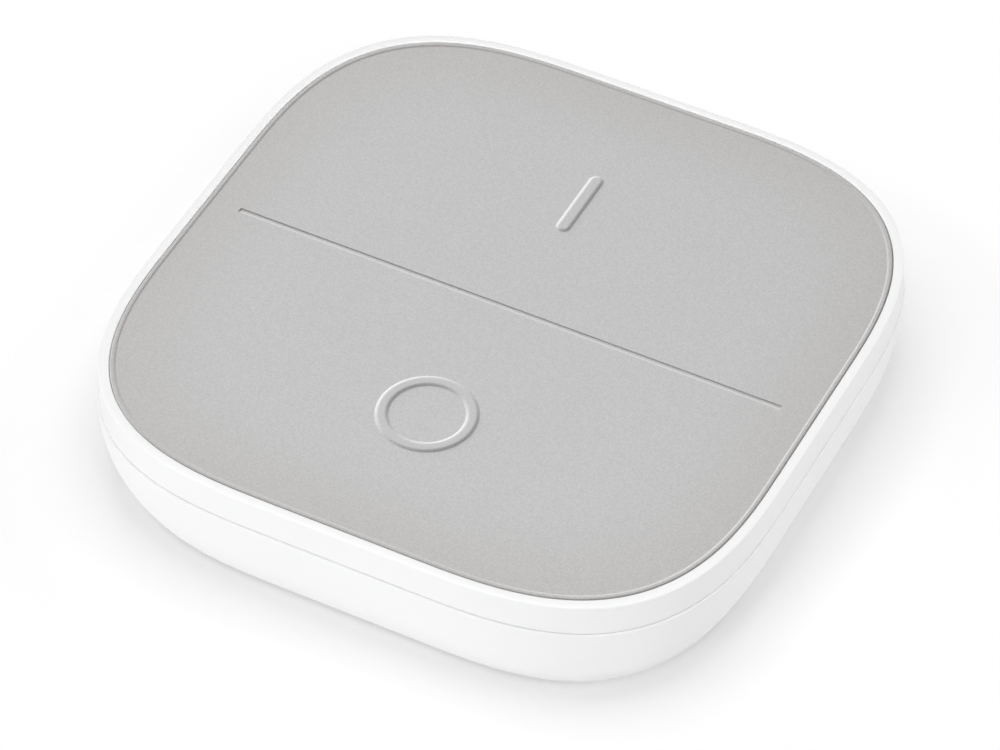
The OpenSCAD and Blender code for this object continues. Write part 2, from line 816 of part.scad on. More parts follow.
module on_switch_base() { switch_base(1); }
module off_switch_base() { switch_base(-1); }
module on_switch_cover() { switch_cover(1); }
module off_switch_cover() { switch_cover(-1); }
module on_switch_dome() { switch_dome(1); }
module off_switch_dome() { switch_dome(-1); }
module on_switch_stem() { switch_stem(1); }
module off_switch_stem() { switch_stem(-1); }

// Gull-wing lead: out of the switch's side, down, and along the board
module switch_lead() {
    translate([switch_w / 2, -lead_w / 2, board_top]) {
        cube([lead_l, lead_w, lead_t]);
        cube([lead_t, lead_w, 1]);
    }
}

module switch_leads() {
    color(steel) for (side = [-1, 1]) translate([0, side * switch_y, 0])
        for (turn = [0, 180]) rotate(turn) for (y = [-1, 1]) translate([0, y * switch_w * 0.375, 0]) switch_lead();
}

// Radio on its own small board, under a shield, with a printed antenna at one end
module at_radio(x, y, z) {
    translate([radio_at[0] - radio_l / 2 + x, radio_at[1] - radio_w / 2 + y, board_top + z]) children();
}

module radio_board() {
    color("darkslategray") at_radio(0, 0, 0) cube([radio_l, radio_w, radio_t]);
}

module radio_shield() {
    color(steel) at_radio(antenna_l + shield_inset / 2, shield_inset / 2, radio_t)
        cube([radio_l - antenna_l - shield_inset, radio_w - shield_inset, shield_h]);
}

module antenna_trace() {
    step = (radio_w - 2 * trace_edge) / antenna_bends;
    reach = antenna_l - 2 * trace_edge;
    color("goldenrod") at_radio(trace_edge, trace_edge - trace_w / 2, radio_t)
        for (bend = [0:antenna_bends - 1]) translate([0, bend * step, 0]) {
            cube([reach, trace_w, trace_t]);
            translate([bend % 2 == 0 ? reach - trace_w : 0, 0, 0]) cube([trace_w, step + trace_w, trace_t]);
        }
}

// Small box on the board, centred on a place
module chip(at, size) {
    translate([at[0] - size[0] / 2, at[1] - size[1] / 2, board_top]) cube(size);
}

// Row of chips from a place outwards, on the side of the switch that side gives
module chip_row(side, size) {
    for (i = [0:chip_count - 1]) chip([side * (chip_at[0] + i * chip_pitch), chip_at[1]], size);
}

module power_converter() { color(black) chip(converter_at, converter_size); }

module power_inductor() {
    color(plate_grey) translate([inductor_at[0], inductor_at[1], board_top]) cylinder(d = inductor_d, h = inductor_h);
}

module clock_crystal() { color(steel) chip(crystal_at, crystal_size); }

module chip_capacitors() { color("tan") chip_row(1, capacitor_size); }

module chip_resistors() { color(black) chip_row(-1, resistor_size); }

base_cover();
feet();
upper_housing();
hinge_pin();
on_pad();
off_pad();
on_key_plate();
off_key_plate();
battery_cradle();
battery_cell_1();
battery_cell_2();
positive_contact();
negative_contact();
negative_spring();
link_contact();
link_spring();
circuit_board();
board_screws();
on_switch_base();
off_switch_base();
on_switch_cover();
off_switch_cover();
on_switch_dome();
off_switch_dome();
on_switch_stem();
off_switch_stem();
switch_leads();
radio_board();
radio_shield();
antenna_trace();
power_converter();
power_inductor();
clock_crystal();
chip_capacitors();
chip_resistors();
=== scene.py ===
"""Looks of a smart button: two soft keys in a white rounded-square housing that sits on a base cover.

Lengths are millimetres while a piece is built, and metres once it stands in the scene.
"""
import logging
import math
from collections.abc import Iterable, Mapping, Sequence
from dataclasses import dataclass, field
from enum import Enum
from typing import Any, Union

import bmesh
import bpy
from mathutils import Matrix, Vector


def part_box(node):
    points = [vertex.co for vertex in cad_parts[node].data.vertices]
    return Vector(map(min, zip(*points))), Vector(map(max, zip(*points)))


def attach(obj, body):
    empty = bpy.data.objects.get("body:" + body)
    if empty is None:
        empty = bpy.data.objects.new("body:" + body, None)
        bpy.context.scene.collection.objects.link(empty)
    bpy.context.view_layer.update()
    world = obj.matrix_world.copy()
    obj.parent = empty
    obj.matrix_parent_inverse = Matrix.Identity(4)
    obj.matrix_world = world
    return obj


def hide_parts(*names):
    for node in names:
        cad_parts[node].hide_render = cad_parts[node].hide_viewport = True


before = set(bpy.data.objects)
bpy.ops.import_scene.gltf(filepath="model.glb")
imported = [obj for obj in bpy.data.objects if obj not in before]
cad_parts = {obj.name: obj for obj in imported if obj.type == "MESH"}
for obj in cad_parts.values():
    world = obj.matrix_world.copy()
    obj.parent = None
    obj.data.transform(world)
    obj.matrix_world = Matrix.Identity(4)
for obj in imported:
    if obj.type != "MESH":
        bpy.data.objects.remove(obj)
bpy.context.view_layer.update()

MM = 0.001
QUARTER = math.pi / 2
WELD_GAP = 1e-6
NOISE_MEAN = 0.5
BLACK = (0.0, 0.0, 0.0)
log = logging.getLogger("smart_button")

Flat = tuple[float, float]
Point = tuple[float, float, float]
Colour = tuple[float, float, float]
Term = Union["Value", float]


class KeySide(Enum):
    """The two keys, by the side of the fold line that each lies on."""

    ON = 1
    OFF = -1


class Flagging(Enum):
    """Which pieces a lamp reaches; flags keep its light off the others."""

    PADS_ONLY = "INCLUDE"
    PADS_SHADED = "EXCLUDE"


class Join(Enum):
    """How a second solid joins a piece."""

    ADD = "UNION"
    CUT = "DIFFERENCE"


# Shader maths

class Value:
    """Number that changes over a surface; arithmetic on it adds Math nodes."""

    def __init__(self, graph: "Graph", socket: bpy.types.NodeSocket) -> None:
        """Keeps the socket and the graph that it belongs to."""
        self.graph = graph
        self.socket = socket

    def math(self, operation: str, *terms: Term) -> "Value":
        """Adds a Math node.

        Args:
            operation: the node's operation.
            terms: its inputs in order.

        Returns:
            The node's result.
        """
        return self.graph.add("ShaderNodeMath", {"operation": operation}, dict(enumerate(terms)))

    def __add__(self, other: Term) -> "Value":
        """Sum."""
        return self.math("ADD", self, other)

    def __radd__(self, other: Term) -> "Value":
        """Sum, with a number on the left."""
        return self.math("ADD", other, self)

    def __sub__(self, other: Term) -> "Value":
        """Difference."""
        return self.math("SUBTRACT", self, other)

    def __rsub__(self, other: Term) -> "Value":
        """Difference, taken from a number on the left."""
        return self.math("SUBTRACT", other, self)

    def __mul__(self, other: Term) -> "Value":
        """Product."""
        return self.math("MULTIPLY", self, other)

    def __abs__(self) -> "Value":
        """Size without sign."""
        return self.math("ABSOLUTE", self)

    def __pow__(self, other: Term) -> "Value":
        """Power."""
        return self.math("POWER", self, other)

    def fold(self, period: float) -> "Value":
        """Distance from the nearest whole multiple of twice the period."""
        return self.math("PINGPONG", self, period)

    def larger(self, other: Term) -> "Value":
        """The larger of two."""
        return self.math("MAXIMUM", self, other)

    def step(self, low: float, high: float) -> "Value":
        """Makes a smooth step.

        Args:
            low: where it leaves 0.
            high: where it reaches 1.

        Returns:
            The step, from 0 to 1.
        """
        settings = {"interpolation_type": "SMOOTHSTEP"}
        inputs = {"Value": self, "From Min": low, "From Max": high}
        return self.graph.add("ShaderNodeMapRange", settings, inputs)


class Graph:
    """Node tree of one material or of the world.

    Attributes:
        MIX_COLOURS: sockets of a Mix node for the share and its two colours.
        MIX_RESULT: socket of its mixed colour.
    """

    MIX_COLOURS = (0, 6, 7)
    MIX_RESULT = 2

    def __init__(self, tree: bpy.types.NodeTree) -> None:
        """Starts from an empty tree."""
        self.tree = tree
        tree.nodes.clear()

    def add(
        self,
        kind: str,
        settings: Mapping[str, Any] | None = None,
        inputs: Mapping[str | int, Any] | None = None,
        output: str | int = 0,
    ) -> Value:
        """Adds one node.

        Args:
            kind: the node's type.
            settings: its properties, set before its sockets.
            inputs: a number, colour or link for each socket that isn't left as it is.
            output: the socket that is returned.

        Returns:
            That output.
        """
        node = self.tree.nodes.new(kind)
        for name, value in (settings or {}).items():
            setattr(node, name, value)
        for name, value in (inputs or {}).items():
            if isinstance(value, Value):
                self.tree.links.new(value.socket, node.inputs[name])
            elif isinstance(value, tuple) and node.inputs[name].type == "RGBA":
                node.inputs[name].default_value = (*value, 1.0)
            else:
                node.inputs[name].default_value = value
        return Value(self, node.outputs[output] if node.outputs else None)

    def place(self) -> Value:
        """Place on the object, in metres of the shared frame."""
        return self.add("ShaderNodeTexCoord", output="Object")

    def along(self, axis: str) -> Value:
        """One coordinate of the place, in millimetres."""
        parts = self.add("ShaderNodeSeparateXYZ", inputs={"Vector": self.place()}, output=axis)
        return parts * (1 / MM)

    def spread(self, power: float) -> Value:
        """Half width, in millimetres, of the rounded square of a power that passes through the place."""
        sides = [abs(self.along(axis)) ** power for axis in ("X", "Y")]
        return (sides[0] + sides[1]) ** (1 / power)

    def noise(self, size: float, detail: float = 2.0, stretch: Point = (1.0, 1.0, 1.0)) -> Value:
        """Soft noise.

        Args:
            size: length of its grains in millimetres.
            detail: octaves of finer noise.
            stretch: how much finer the grains are along each axis.

        Returns:
            The noise, about 0.5 on average.
        """
        inputs = {0: self.place(), 1: stretch}
        place = self.add("ShaderNodeVectorMath", {"operation": "MULTIPLY"}, inputs)
        scale = 1 / (size * MM)
        return self.add("ShaderNodeTexNoise", inputs={"Vector": place, "Scale": scale, "Detail": detail})

    def mix(self, share: Term, first: Any, second: Any) -> Value:
        """Colour between two colours: the first where share is 0."""
        inputs = dict(zip(self.MIX_COLOURS, (share, first, second)))
        return self.add("ShaderNodeMix", {"data_type": "RGBA"}, inputs, self.MIX_RESULT)

    def bump(self, height: Value, depth: float) -> Value:
        """Normal of a relief that is depth millimetres deep."""
        return self.add("ShaderNodeBump", inputs={"Height": height, "Distance": depth * MM})

    def surface(self, inputs: Mapping[str, Any]) -> None:
        """Ends a material in one Principled shader with these sockets."""
        shader = self.add("ShaderNodeBsdfPrincipled", inputs=inputs)
        self.add("ShaderNodeOutputMaterial", inputs={"Surface": shader})


# Finishes

def shade(colour: Colour, factor: float) -> Colour:
    """A colour made lighter or darker by a factor."""
    return (colour[0] * factor, colour[1] * factor, colour[2] * factor)


@dataclass(frozen=True)
class Finish:
    """What every finish has.

    Attributes:
        name: the material's name.
        slot: the record's material slot.
        colour: the main colour, linear.
        roughness: the mean roughness.
    """

    name: str
    slot: str
    colour: Colour
    roughness: float

    def material(self) -> bpy.types.Material:
        """Makes the finish's material on its first use.

        Returns:
            The material.
        """
        made = bpy.data.materials.get(self.name)
        if made is None:
            made = bpy.data.materials.new(self.name)
            made.use_nodes = True
            made.diffuse_color = (*self.colour, 1.0)
            self.paint(Graph(made.node_tree))
        return made

    def paint(self, graph: Graph) -> None:
        """Adds the finish's nodes to an empty graph."""
        raise NotImplementedError


@dataclass(frozen=True)
class Moulded(Finish):
    """Moulded plastic or elastomer: an eroded grain with painted shade in its hollows, and drifting tone and
    gloss.

    Attributes:
        grain: size of the grain.
        relief: depth of the grain.
        hollow_shade: share by which painted shade makes the grain's hollows darker.
        drift: share by which the tone drifts over the piece.
        patch: size of the drift's patches, in grains.
        rise: values of the noise between which grain and drift change.
        gloss: how far the roughness follows the grain and the drift.
    """

    grain: float = 0.16
    relief: float = 0.004
    hollow_shade: float = 0.02
    drift: float = 0.015
    patch: float = 60.0
    rise: Flat = (0.3, 0.7)
    gloss: Flat = (0.12, 0.08)

    def tone(self, graph: Graph, colour: Value) -> Value:
        """Place for painted shade over the piece; plain plastic keeps its colour."""
        return colour

    def paint(self, graph: Graph) -> None:
        """Adds the plastic's nodes."""
        fine = graph.noise(self.grain, 1.0)
        broad = graph.noise(self.patch * self.grain)
        darker, lighter = (shade(self.colour, 1 + sign * self.drift) for sign in (-1, 1))
        toned = graph.mix(broad.step(*self.rise), darker, lighter)
        # painted shade: darker where the grain's relief is low
        hollow = 1 - fine.step(*self.rise)
        uneven = (fine - NOISE_MEAN) * self.gloss[0] + (broad - NOISE_MEAN) * self.gloss[1]
        graph.surface({
            "Base Color": graph.mix(hollow * self.hollow_shade, self.tone(graph, toned), BLACK),
            "Roughness": self.roughness + uneven,
            "Normal": graph.bump(fine, self.relief),
        })


@dataclass(frozen=True)
class PadSkin(Moulded):
    """Elastomer of the pads, with painted shade that makes it darker and warmer towards the border.

    Attributes:
        power: power of the rounded square that the painted shade follows.
        border_shade: half widths of that square between which the painted shade sets in.
        border: colour of the painted shade at the border.
    """

    power: float = 3.9
    border_shade: Flat = (26.0, 41.0)
    border: Colour = (0.508, 0.498, 0.491)

    def tone(self, graph: Graph, colour: Value) -> Value:
        """Paints shade near the border: darker and warmer towards it."""
        # painted shade: the colour turns to the border colour near the pad's edge
        return graph.mix(graph.spread(self.power).step(*self.border_shade), colour, self.border)


@dataclass(frozen=True)
class Metal(Finish):
    """Drawn, rolled or plated metal: streaks along one axis and faint tarnish.

    Attributes:
        streak: how much finer the streaks are along each axis.
        grain: length of a streak.
        octaves: detail of streaks and patches.
        tarnish: colour of the dull patches.
        patch: size of the dull patches, in streaks.
        rise: values of the noise between which a patch begins.
        dulling: how far a patch changes the colour and the roughness.
        brushing: how far the streaks change the roughness, and their depth.
    """

    streak: Point = (1.0, 12.0, 12.0)
    grain: float = 2.5
    octaves: float = 3.0
    tarnish: Colour = (0.42, 0.40, 0.36)
    patch: float = 1.6
    rise: Flat = (0.5, 0.75)
    dulling: Flat = (0.35, 0.12)
    brushing: Flat = (0.25, 0.006)

    def paint(self, graph: Graph) -> None:
        """Adds the metal's nodes."""
        streaks = graph.noise(self.grain, self.octaves, self.streak)
        patches = graph.noise(self.patch * self.grain, self.octaves).step(*self.rise)
        uneven = (streaks - NOISE_MEAN) * self.brushing[0] + patches * self.dulling[1]
        graph.surface({
            "Base Color": graph.mix(patches * self.dulling[0], self.colour, self.tarnish),
            "Metallic": 1.0,
            "Roughness": self.roughness + uneven,
            "Normal": graph.bump(streaks, self.brushing[1]),
        })


@dataclass(frozen=True)
class SolderMask(Finish):
    """Circuit board: solder mask over copper runs, with plated holes whose insides are painted shade.

    Attributes:
        run: colour of the mask where copper lies under it.
        plating: colour of the bare plated rings.
        hole_shade: colour inside the holes, a painted shade that stands for their depth.
        pitch: distance between neighbouring runs.
        run_size: width and length of a run, in pitches.
        run_shift: how far each row of runs is shifted, as a share of their length.
        region: size of the areas that have runs, and the values of the noise where they begin.
        hole_pitch: mean distance between holes.
        hole: where a hole ends, in hole pitches.
        hole_ring: where the plated ring round it ends.
        scatter: how unevenly the holes lie.
        relief: depth of the relief, and the copper's share in it.
        weave: size of the glass weave under the mask.
        weave_stretch: how much finer the weave is along each axis.
        gloss: how far the roughness follows the weave.
    """

    run: Colour = (0.04, 0.26, 0.11)
    plating: Colour = (0.72, 0.56, 0.28)
    hole_shade: Colour = (0.004, 0.006, 0.005)
    pitch: float = 1.27
    run_size: Flat = (0.09, 3.6)
    run_shift: float = 0.37
    region: Point = (9.0, 0.44, 0.5)
    hole_pitch: float = 4.2
    hole: Flat = (0.085, 0.095)
    hole_ring: Flat = (0.15, 0.16)
    scatter: float = 0.8
    relief: Flat = (0.03, 0.6)
    weave: float = 0.7
    weave_stretch: Point = (1.0, 3.0, 1.0)
    gloss: float = 0.2

    def paint(self, graph: Graph) -> None:
        """Adds the board's nodes."""
        width, length = self.run_size
        grid = graph.add("ShaderNodeTexBrick", {"offset": self.run_shift}, {
            "Vector": graph.place(),
            "Scale": 1 / (self.pitch * MM),
            "Mortar Size": width,
            "Mortar Smooth": 0.1,
            "Brick Width": length,
            "Row Height": 1.0,
        }, "Fac")
        area, low, high = self.region
        cells = graph.add("ShaderNodeTexVoronoi", {"feature": "F1"}, {
            "Vector": graph.place(),
            "Scale": 1 / (self.hole_pitch * MM),
            "Randomness": self.scatter,
        }, "Distance")
        outside = cells.step(*self.hole)
        ring = outside * (1 - cells.step(*self.hole_ring))
        drill = 1 - outside
        copper = grid * graph.noise(area, 1.0).step(low, high)
        plated = graph.mix(ring, graph.mix(copper, self.colour, self.run), self.plating)
        weave = graph.noise(self.weave, 1.0, self.weave_stretch)
        deep, share = self.relief
        graph.surface({
            # painted shade fills the holes
            "Base Color": graph.mix(drill, plated, self.hole_shade),
            "Metallic": ring,
            "Roughness": self.roughness + (weave - NOISE_MEAN) * self.gloss,
            "Normal": graph.bump(copper * share + ring - drill, deep),
        })


@dataclass(frozen=True)
class CellFilm(Finish):
    """Cell: a printed film with a plain band, drawn back from the bare ends.

    Attributes:
        flat_end: place along X of the flat end.
        nub_side: 1 if the nub points along +X, or -1.
        length: length of the can without its nub.
        margin: bare steel at each end of the film.
        band: length of the band next to the nub.
        band_colour: colour of that band.
        line: distance of the thin line from the band, and its half width at its inner and outer edge.
        line_colour: colour of that line.
        fade: width over which the film ends, and over which the band begins.
        steel: colour of the bare steel.
        scuffed: colour of the scuffs.
        scuff: how far the scuffs change the colour, the roughness and the relief.
        scuff_size: length of a scuff.
        scuff_stretch: how much finer the scuffs are along each axis.
        scuff_rise: values of the noise between which a scuff begins.
        relief: thickness of the film.
        cover: share by which the film hides the metal.
        bare: how much rougher the bare steel is.
    """

    flat_end: float = 0.0
    nub_side: int = 1
    length: float = 43.5
    margin: float = 0.55
    band: float = 11.0
    band_colour: Colour = (0.52, 0.40, 0.20)
    line: Point = (0.9, 0.18, 0.26)
    line_colour: Colour = (0.75, 0.74, 0.70)
    fade: Flat = (0.05, 0.08)
    steel: Colour = (0.62, 0.61, 0.59)
    scuffed: Colour = (0.6, 0.6, 0.58)
    scuff: Point = (0.12, 0.18, 0.1)
    scuff_size: float = 2.2
    scuff_stretch: Point = (0.35, 2.0, 2.0)
    scuff_rise: Flat = (0.55, 0.8)
    relief: float = 0.05
    cover: float = 0.75
    bare: float = 0.06

    def paint(self, graph: Graph) -> None:
        """Adds the cell's nodes."""
        along = (graph.along("X") - self.flat_end) * self.nub_side
        ending, beginning = self.fade
        last = self.length - self.margin
        film = along.step(self.margin, self.margin + ending) * (1 - along.step(last - ending, last))
        start = self.length - self.band
        banded = graph.mix(along.step(start, start + beginning), self.colour, self.band_colour)
        away, inner, outer = self.line
        line = 1 - abs(along - (start - away)).step(inner, outer)
        lined = graph.mix(line, banded, self.line_colour)
        scuffs = graph.noise(self.scuff_size, 4.0, self.scuff_stretch).step(*self.scuff_rise)
        tint, dull, worn = self.scuff
        printed = graph.mix(scuffs * tint, lined, self.scuffed)
        graph.surface({
            "Base Color": graph.mix(film, self.steel, printed),
            "Metallic": 1 - film * self.cover,
            "Roughness": self.roughness + scuffs * dull + (1 - film) * self.bare,
            "Normal": graph.bump(film + scuffs * worn, self.relief),
        })


@dataclass(frozen=True)
class ChipBody(Finish):
    """Row of chips along X: moulded or fired bodies with plated ends.

    Attributes:
        first: place of the first chip, measured from the middle outwards.
        pitch: distance between chips.
        body: half length of the body between its plated ends.
        fade: half the width over which the plating begins.
        plating: colour of the ends.
        grain: size of the body's grain.
        mottle: share by which its tone changes.
        relief: depth of the grain, and step at the plating.
        gloss: how far the roughness follows the plating and the grain.
    """

    first: float = 9.0
    pitch: float = 3.0
    body: float = 0.5
    fade: float = 0.03
    plating: Colour = (0.66, 0.65, 0.62)
    grain: float = 0.12
    mottle: float = 0.15
    relief: float = 0.01
    gloss: float = 0.15

    def paint(self, graph: Graph) -> None:
        """Adds the chips' nodes."""
        offset = (abs(graph.along("X")) - self.first).fold(self.pitch / 2)
        ends = offset.step(self.body - self.fade, self.body + self.fade)
        grain = graph.noise(self.grain)
        darker, lighter = (shade(self.colour, 1 + sign * self.mottle) for sign in (-1, 1))
        mottled = graph.mix(grain, darker, lighter)
        graph.surface({
            "Base Color": graph.mix(ends, mottled, self.plating),
            "Metallic": ends,
            "Roughness": self.roughness - ends * self.gloss + (grain - NOISE_MEAN) * self.gloss,
            "Normal": graph.bump(grain + ends, self.relief),
        })


HOUSING_WHITE = Moulded(
    "satin_white_plastic", "housing_white", (0.898, 0.90, 0.899), 0.5,
    grain=0.22, relief=0.0025, hollow_shade=0.006, drift=0.004,
)
PAD_GREY = PadSkin(
    "fine_grained_elastomer", "pad_grey", (0.5525, 0.548, 0.5495), 0.7,
    grain=0.2, relief=0.006, hollow_shade=0.125, drift=0.006,
)
FOOT_RUBBER = Moulded(
    "anti_slip_rubber", "foot_rubber", (0.33, 0.33, 0.33), 0.8,
    grain=0.3, relief=0.03, hollow_shade=0.2, drift=0.05,
)
PLATE_PLASTIC = Moulded(
    "plate_plastic", "plate_plastic", (0.56, 0.56, 0.56), 0.5,
    grain=0.25, relief=0.006, hollow_shade=0.04, drift=0.03,
)
BLACK_PLASTIC = Moulded(
    "black_plastic", "black_plastic", (0.028, 0.028, 0.03), 0.45,
    grain=0.2, relief=0.006, hollow_shade=0.2, drift=0.1,
)
CHIP_EPOXY = Moulded(
    "chip_epoxy", "chip_black", (0.02, 0.02, 0.021), 0.55,
    grain=0.12, relief=0.008, hollow_shade=0.3, drift=0.1,
)
FERRITE = Moulded(
    "pressed_ferrite", "ferrite_grey", (0.09, 0.09, 0.092), 0.6,
    grain=0.1, relief=0.015, hollow_shade=0.4, drift=0.15,
)
PIN_STEEL = Metal("drawn_steel", "pin_steel", (0.60, 0.60, 0.61), 0.28, streak=(1.0, 14.0, 14.0))
SCREW_STEEL = Metal(
    "screw_steel", "pin_steel", (0.56, 0.56, 0.58), 0.32,
    streak=(3.0, 3.0, 3.0), grain=0.8,
)
NICKEL = Metal(
    "bright_nickel", "contact_nickel", (0.70, 0.68, 0.63), 0.22,
    streak=(2.0, 2.0, 10.0), grain=1.8,
)
GOLD = Metal(
    "gold_plating", "trace_gold", (0.83, 0.60, 0.27), 0.3,
    streak=(1.0, 1.0, 1.0), grain=0.5, tarnish=(0.6, 0.4, 0.2),
)
MAIN_BOARD = SolderMask("green_solder_mask", "board_green", (0.022, 0.15, 0.065), 0.38)
RADIO_MASK = SolderMask(
    "dark_solder_mask", "radio_dark", (0.012, 0.04, 0.04), 0.4,
    run=(0.02, 0.07, 0.07), pitch=0.8,
)
CAPACITORS = ChipBody("fired_ceramic", "ceramic_tan", (0.42, 0.30, 0.18), 0.5)
RESISTORS = ChipBody("resistor_glaze", "chip_black", (0.018, 0.018, 0.018), 0.35)


# Mesh building

def node_box(node: str) -> tuple[Vector, Vector]:
    """Lowest and highest corner of a CAD node at rest, in millimetres."""
    low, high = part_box(node)
    return low / MM, high / MM


def arc(middle: Flat, radii: Flat, start: float, end: float, steps: int) -> list[Flat]:
    """Points along an upright elliptical arc.

    Args:
        middle: the arc's centre.
        radii: its radius each way.
        start: first angle in degrees.
        end: last angle in degrees.
        steps: stretches that stand for the arc.

    Returns:
        The points from the first angle to the last.
    """
    turns = [math.radians(start + (end - start) * step / steps) for step in range(steps + 1)]
    return [(middle[0] + radii[0] * math.cos(turn), middle[1] + radii[1] * math.sin(turn)) for turn in turns]


def mirrored(at: Flat) -> list[Flat]:
    """The four places that lie a distance from the middle each way."""
    return [(side * at[0], turn * at[1]) for side in (-1, 1) for turn in (-1, 1)]


def bend(first: Flat, corner: Flat, last: Flat, steps: int) -> list[Flat]:
    """Points of a rounded corner, which leaves and arrives along the corner's two sides.

    Args:
        first: where it starts.
        corner: the corner that it rounds.
        last: where it ends.
        steps: stretches that stand for it.

    Returns:
        The points from first to last.
    """
    shares = [step / steps for step in range(steps + 1)]
    return [
        tuple((1 - s) ** 2 * a + 2 * s * (1 - s) * b + s**2 * c for a, b, c in zip(first, corner, last))
        for s in shares
    ]


@dataclass(frozen=True)
class Outline:
    """Rounded square whose corners are quarters of a superellipse.

    Attributes:
        straight: half length of each straight side, the same at every width.
        power: power of the corner curve.
        steps: stretches that stand for one corner.
    """

    straight: float = 8.87
    power: float = 2.9
    steps: int = 44

    def corner(self, half: float) -> list[Flat]:
        """Draws the corner between +X and +Y.

        Args:
            half: the outline's half width.

        Returns:
            The corner's points from +X to +Y.
        """
        reach = half - self.straight
        share = 2 / self.power
        turns = [QUARTER * step / self.steps for step in range(self.steps + 1)]
        return [
            (self.straight + reach * math.cos(t) ** share, self.straight + reach * math.sin(t) ** share)
            for t in turns
        ]

    def ring(self, half: float, z: float) -> list[Point]:
        """Draws the whole outline.

        Args:
            half: its half width.
            z: its height.

        Returns:
            A closed ring of points.
        """
        corner = self.corner(half)
        turned = [[(x, y), (-y, x), (-x, -y), (y, -x)] for x, y in corner]
        return [(*places[quarter], z) for quarter in range(4) for places in turned]

    def half_ring(self, half: float, z: float, cut: float) -> list[Point]:
        """Draws the outline's +Y side.

        Args:
            half: the outline's half width.
            z: its height.
            cut: distance from the middle line at which it stops.

        Returns:
            An open ring of points from +X to -X.
        """
        corner = self.corner(half)
        far = [(-y, x, z) for x, y in corner]
        return [(half, cut, z), *[(x, y, z) for x, y in corner], *far, (-half, cut, z)]


class Solid:
    """One closed mesh under construction, in millimetres."""

    def __init__(self) -> None:
        """Starts with an empty mesh."""
        self.mesh = bmesh.new()

    def ring(self, points: Iterable[Point]) -> list[bmesh.types.BMVert]:
        """Adds points and returns their vertices."""
        return [self.mesh.verts.new(point) for point in points]

    def face(self, corners: Sequence[bmesh.types.BMVert]) -> None:
        """Adds one flat face."""
        self.mesh.faces.new(corners)

    def skin(self, rings: Iterable[Sequence[Point]], closed: bool = True) -> list[list[bmesh.types.BMVert]]:
        """Adds rings of points and a band of faces between each two.

        Args:
            rings: rings of as many points each.
            closed: whether each ring comes back to its first point.

        Returns:
            The vertices of each ring.
        """
        loops = [self.ring(points) for points in rings]
        for low, high in zip(loops, loops[1:]):
            count = len(low)
            for i in range(count if closed else count - 1):
                j = (i + 1) % count
                self.face((low[i], low[j], high[j], high[i]))
        return loops

    def tube(self, rings: Iterable[Sequence[Point]]) -> None:
        """Adds a skin with both its ends closed."""
        loops = self.skin(rings)
        self.face(loops[0])
        self.face(loops[-1])

    def lathe(self, profile: Sequence[Flat], place: Matrix, steps: int = 48) -> None:
        """Adds a turned solid.

        Args:
            profile: (radius, height) from one end to the other.
            place: matrix that moves the turning axis from Z.
            steps: sides of the solid.
        """
        turns = [2 * math.pi * step / steps for step in range(steps)]
        rings = [[place @ Vector((r * math.cos(t), r * math.sin(t), z)) for t in turns] for r, z in profile]
        self.tube(rings)

    def lathes(self, profile: Sequence[Flat], places: Iterable[Flat], steps: int = 48) -> None:
        """Adds an upright turned solid at each place."""
        for x, y in places:
            self.lathe(profile, Matrix.Translation((x, y, 0)), steps)

    def block(self, low: Point, high: Point, edge: float = 0.0) -> None:
        """Adds a box.

        Args:
            low: its lowest corner.
            high: its highest corner.
            edge: rounding of its edges.
        """
        corners = bmesh.ops.create_cube(self.mesh, size=1.0)["verts"]
        middle = (Vector(low) + Vector(high)) / 2
        size = Vector(high) - Vector(low)
        for corner in corners:
            corner.co = middle + corner.co * size
        if edge > 0:
            edges = list({line for corner in corners for line in corner.link_edges})
            bmesh.ops.bevel(self.mesh, geom=edges, offset=edge, segments=3, profile=0.5, affect="EDGES")

    def fill(self, loops: Iterable[Sequence[bmesh.types.BMVert]]) -> None:
        """Fills a level space with triangles.

        Args:
            loops: the loop round the space, and then those round its holes.
        """
        edges = []
        for loop in loops:
            for a, b in zip(loop, [*loop[1:], loop[0]]):
                edges.append(self.mesh.edges.get((a, b)) or self.mesh.edges.new((a, b)))
        bmesh.ops.triangle_fill(self.mesh, use_beauty=True, edges=edges, normal=(0.0, 0.0, 1.0))

    def mirror_y(self) -> None:
        """Turns the mesh into its mirror image across the fold line."""
        bmesh.ops.scale(self.mesh, vec=(1.0, -1.0, 1.0), verts=self.mesh.verts)

    def to_object(self, name: str) -> bpy.types.Object:
        """Ends the mesh.

        Args:
            name: the object's name.

        Returns:
            The mesh as an object, still in millimetres.
        """
        bmesh.ops.recalc_face_normals(self.mesh, faces=self.mesh.faces)
        data = bpy.data.meshes.new(name)
        self.mesh.to_mesh(data)
        self.mesh.free()
        made = bpy.data.objects.new(name, data)
        bpy.context.scene.collection.objects.link(made)
        return made


def join(piece: bpy.types.Object, tool: Solid, way: Join) -> None:
    """Adds a solid to a piece, or cuts it out of the piece.

    Args:
        piece: the object that changes, in millimetres.
        tool: the second solid, which is used up.
        way: whether it is added or cut out.
    """
    other = tool.to_object("tool")
    modifier = piece.modifiers.new("join", "BOOLEAN")
    modifier.operation = way.value
    modifier.solver = "EXACT"
    modifier.use_self = True
    modifier.object = other
    shown = piece.evaluated_get(bpy.context.evaluated_depsgraph_get())
    made = bpy.data.meshes.new_from_object(shown)
    piece.modifiers.clear()
    old = piece.data
    piece.data = made
    made.name = piece.name
    bpy.data.meshes.remove(old)
    bpy.data.meshes.remove(other.data)


